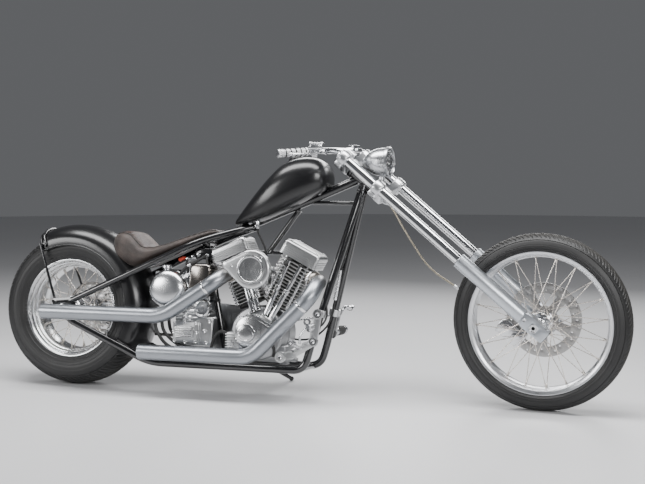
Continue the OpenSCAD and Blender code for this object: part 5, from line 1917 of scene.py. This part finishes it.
def peg(piece, at, side, length, radius):
    """A turned peg with rubber rings let into it, which points outwards from its arm."""
    place = to_left(*at) if side > 0 else to_right(*at)
    outline = [(0, 0), (radius * 0.75, 0), (radius * 0.75, 12), (radius * 0.95, 16)]
    outline += [(radius * 0.95, length - 12), (radius * 1.05, length - 10), (radius * 1.05, length - 3),
                (radius * 0.9, length), (0, length)]
    piece.add(turned(outline, 56), bright_alloy, place)
    rings = int((length - 34) / 19)
    for k in range(rings):
        z = 21 + 19 * k
        piece.add(turned([(radius * 0.9, z), (radius * 1.1, z + 1.6), (radius * 1.14, z + 6.5),
                          (radius * 1.1, z + 11.4),
                          (radius * 0.9, z + 13)], 56, closed=True), seal_rubber, place)
    piece.add(cap_screw(radius * 0.4, 2), chrome, place @ placed(0, 0, length))


ARM_THICK = 12
for name, side, path, stands_for in (
    ("forward_control_right_milled", -1, [(1139, 350), (1122, 240), (1034, 185)],
     "forward_control_right"),
    ("forward_control_left_milled", 1, [(1139, 350), (1118, 256)], "forward_control_left"),
):
    control = Piece(BIKE)
    centre = mirrored(on_downtube(350), side)
    line = mirrored(DOWN_LINE, side).normalized()
    control.add(turned([(16, -14), (22.6, -14), (23.8, -12.8), (23.8, 12.8), (22.6, 14), (16, 14)], 56,
                       closed=True),
                satin_alloy, facing(centre, line))
    control.add(rod(centre + Vector((0, side * 20, 0)), (1139, side * 151, 350), 11, sides=32),
                satin_alloy)
    place = placed(0, 144 if side < 0 else 156, 0) @ Matrix.Rotation(pi / 2, 4, "X")
    if side < 0:
        place = placed(0, -144, 0) @ Matrix.Rotation(pi / 2, 4, "X")
    for a, b in zip(path, path[1:]):
        control.add(plate([hull_outline([(*a, 17), (*b, 17)])], ARM_THICK, 2.2), satin_alloy, place)
    for x, z in path:
        ring_place = (to_right if side < 0 else to_left)(x, side * 143, z)
        control.add(turned([(0, 0), (20, 0), (20.4, 1), (20.4, 13), (19.4, 14.6), (15, 15), (13.6, 13.6),
                            (12, 13.4), (0, 13.4)],
                           56), satin_alloy, ring_place)
        control.add(turned([(11.6, 12), (13.4, 13), (13.4, 15), (11.6, 16)], 40, closed=True),
                    seal_rubber, ring_place)
        control.add(cap_screw(7, 4), chrome, ring_place @ placed(0, 0, 13))
    if side < 0:
        grip = to_right(1034, -156, 185)
        control.add(turned([(0, 0), (15, 0), (15, 122), (16, 124), (21, 126), (21.6, 128), (21.6, 140),
                            (20.4, 142.6),
                            (16, 143), (14, 140), (12, 139.6), (0, 139.6)], 64), satin_alloy, grip)
        control.add(cap_screw(7, 4), chrome, grip @ placed(0, 0, 139))
        control.add(rod((1104, -164, 294), (1120, -140, 300), 17, sides=40, edge=2), satin_alloy)
        control.add(pipe(bent([(1096, -168, 292), (1072, -170, 262), (1072, -168, 230)], 16), 5, 16),
                    bright_alloy)
        control.add(pipe(bent([(1074, -156, 212), (1068, -200, 220), (1064, -236, 236)], 20), 7, 20),
                    bright_alloy)
        peg(control, (1064, -214, 237), side, 50, 11)
        control.add(turned([(8, -5), (14, -5), (14, 5), (8, 5)], 40, closed=True), bright_alloy,
                    to_right(1098, -160, 318))
        control.add(pipe(smooth_through([(1120, -140, 300), (1150, -128, 306), (1166, -112, 350),
                                         (1150, -96, 420)], 8), 4, 14),
                    seal_rubber)
    else:
        peg(control, (1128, 152, 266), side, 146, 18)
        control.add(pipe(bent([(1148, 160, 346), (1160, 190, 372), (1166, 226, 366)], 20), 7, 20),
                    bright_alloy)
        peg(control, (1166, 218, 364), side, 66, 11)
        control.add(rod((1139, 150, 338), (700, 150, 262), 4, sides=16), bright_alloy)
        for x, z in ((1139, 338), (700, 262)):
            control.add(rod((x, 144, z), (x, 158, z), 9, sides=28, edge=1), bright_alloy)
    control.done(name, "frame", "polished_aluminium", stands_for, crease=36)

# ---------- Clutch cable ----------
# A steel cable in a black plastic sleeve from the left lever to the primary cover, with a ribbed silver
# adjuster in its length. It hangs in a soft bend in front of the downtubes.
cable = Piece(BIKE)
cable.add(pipe(smooth_through([(1250, -4, 826), (1238, 4, 760), (1212, 24, 640), (1182, 44, 556),
                               (1174, 49, 527)], 10),
               4.2, 16), seal_rubber)
cable.add(pipe(smooth_through([(1149, 64, 403), (1138, 72, 350), (1110, 88, 290), (1050, 104, 240),
                               (990, 118, 226),
                               (930, 132, 230)], 10), 4.2, 16), seal_rubber)
top, foot = Vector((1174, 49, 527)), Vector((1149, 64, 403))
cable.add(rod(top, foot, 6.4, sides=32), bright_alloy)
for k in range(15):
    spot = top.lerp(foot, 0.1 + 0.052 * k)
    cable.add(rod(spot, top.lerp(foot, 0.125 + 0.052 * k), 8, sides=28, edge=0.6), bright_alloy)
cable.add(rod(top.lerp(foot, 0.9), foot, 8.6, sides=6, edge=0.6), bright_alloy)
cable.done("clutch_cable_and_adjuster", "frame", "hose_rubber")

# ---------- Side stand and its bracket ----------
# A forged steel leg with a round foot, on a pin in a fork welded to the left lower rail, and a coil spring
# that holds it up or down. It is painted with the frame.
PIVOT, FOOT_R = Vector((800, 168, 120)), 11
up_row = BIKE.row[2]
foot_z = (FOOT_R / 1000 - up_row[3] - up_row[0] * 892 - up_row[1] * 300) / up_row[2]
FOOT = Vector((892, 300, foot_z))
HINGE = (FOOT - PIVOT).normalized().cross(Vector((-1, 0.14, 0)).normalized()).normalized()
leg = Piece(BIKE)
down_leg = (FOOT - PIVOT).normalized()
leg.add(turned([(7.1, -12), (14.4, -12), (15, -11.4), (15, 11.4), (14.4, 12), (7.1, 12)], 48,
               closed=True), frame_paint,
        facing(PIVOT, HINGE))
knee = PIVOT.lerp(FOOT, 0.5)
leg.add(pipe([PIVOT + down_leg * 8, knee, FOOT - down_leg * 4], [10.5, 9.2, 8.4], 32), frame_paint)
leg.add(turned([(0, -11), (3.5, -10.5), (7.5, -8), (10.3, -4), (11, 0), (10.3, 4), (8.6, 7), (8.4, 10)],
               40), frame_paint,
        facing(FOOT, -down_leg))
leg.done("side_stand_forged", "side_stand", "black_paint", "side_stand", crease=50)
bracket = Piece(BIKE)
bracket.add(rod(PIVOT - HINGE * 25, PIVOT + HINGE * 25, 7, sides=32, edge=1), chrome)
for way in (-1, 1):
    bracket.add(turned([(7, 13.2), (14.4, 13.2), (15, 13.8), (15, 20.4), (14.4, 21), (7, 21)], 48,
                       closed=True), frame_paint,
                facing(PIVOT, HINGE * way))
    bracket.add(bolt_head(9, 6), bright_alloy, facing(PIVOT + HINGE * way * 21, HINGE * way))
bracket.add(block((785, 134, 93), (815, 149, 147), 4), frame_paint)
bracket.add(block((788, 144, 95), (812, 158, 103), 3), frame_paint)
coil = [(18.4 * cos(tau * k / 20), 18.4 * sin(tau * k / 20), 13.6 + k * 0.072) for k in range(81)]
bracket.add(pipe(coil, 1.3, 8), oiled_steel, facing(PIVOT, HINGE))
bracket.done("side_stand_bracket", "frame", "black_paint", "stand_bracket", crease=40)

# ---------- Fittings under the seat ----------
# Silver hose unions and a red rubber boot on a bracket between the oil tank and the rear cylinder, with
# black cables running down to the starter, and an ignition coil box beyond them.
fittings = Piece(BIKE)
red_rubber = finish("red_rubber", lambda spot: {
    "Base Color": spot.noise(60, 4).tint((0.30, 0.022, 0.008), (0.50, 0.05, 0.018)),
    "Roughness": 0.46 + 0.2 * spot.noise(90, 3),
})
fittings.add(block((572, -70, 556), (650, -28, 604), 5), frame_paint)
fittings.add(turned([(0, 0), (11, 0), (12.5, 3), (12.5, 14), (10, 18), (10, 22), (12, 24), (12, 30),
                     (8, 36), (7, 44), (0, 44)], 36),
             red_rubber, facing((508, -88, 552), (0.93, -0.1, 0.35)) @ Matrix.Scale(0.7, 4))
fittings.add(pipe(smooth_through([(546, -92, 552), (544, -96, 536), (548, -92, 520), (548, -84, 500)], 8),
                  5, 16), seal_rubber)
for x, z in ((546, 556), (570, 566), (594, 576), (632, 574)):
    fittings.add(rod((x, -70, z), (x, -88, z), 8, sides=6, edge=0.8), bright_alloy)
    fittings.add(rod((x, -86, z), (x, -96, z), 5.6, sides=24, edge=0.8), chrome)
fittings.add(pipe(smooth_through([(632, -90, 568), (636, -92, 530), (648, -84, 470), (658, -60, 420),
                                  (660, -30, 380)], 8), 5, 16),
             seal_rubber)
fittings.add(pipe(smooth_through([(520, -96, 500), (556, -100, 530), (590, -96, 548), (632, -92, 574)],
                                 8), 6, 16), seal_rubber)
fittings.add(turned([(6, -8), (8.4, -8), (8.4, 8), (6, 8)], 28, closed=True), bright_alloy,
             facing((560, -100, 532), (1, 0, 0.5)))
fittings.done("hose_unions_and_boot", "frame", "hose_rubber")

# ---------- Carburettor ----------
# A cast body between the cylinders, with a round float bowl below it and two stub manifolds to the heads.
carb = Piece(BIKE)
carb.add(turned([(0, -34), (23, -34), (25, -31), (25, 2), (22, 6), (22, 34), (0, 34)], 48), satin_alloy,
         to_right(868, 0, 512))
carb.add(turned([(0, -34), (19, -33), (22, -30), (23, -4), (26, -2), (26, 2), (0, 2)], 48), satin_alloy,
         placed(868, -6, 492))
for side in (-1, 1):
    carb.add(pipe(bent([(868, 10, 512), (868 + side * 26, 26, 516), (868 + side * 48, 20, 520)], 16), 17,
                  28), cast_alloy)
carb.add(bolt_head(7, 8), bright_alloy, placed(868, -6, 457) @ FLIP)
carb.done("carburettor", "frame", "cast_aluminium")
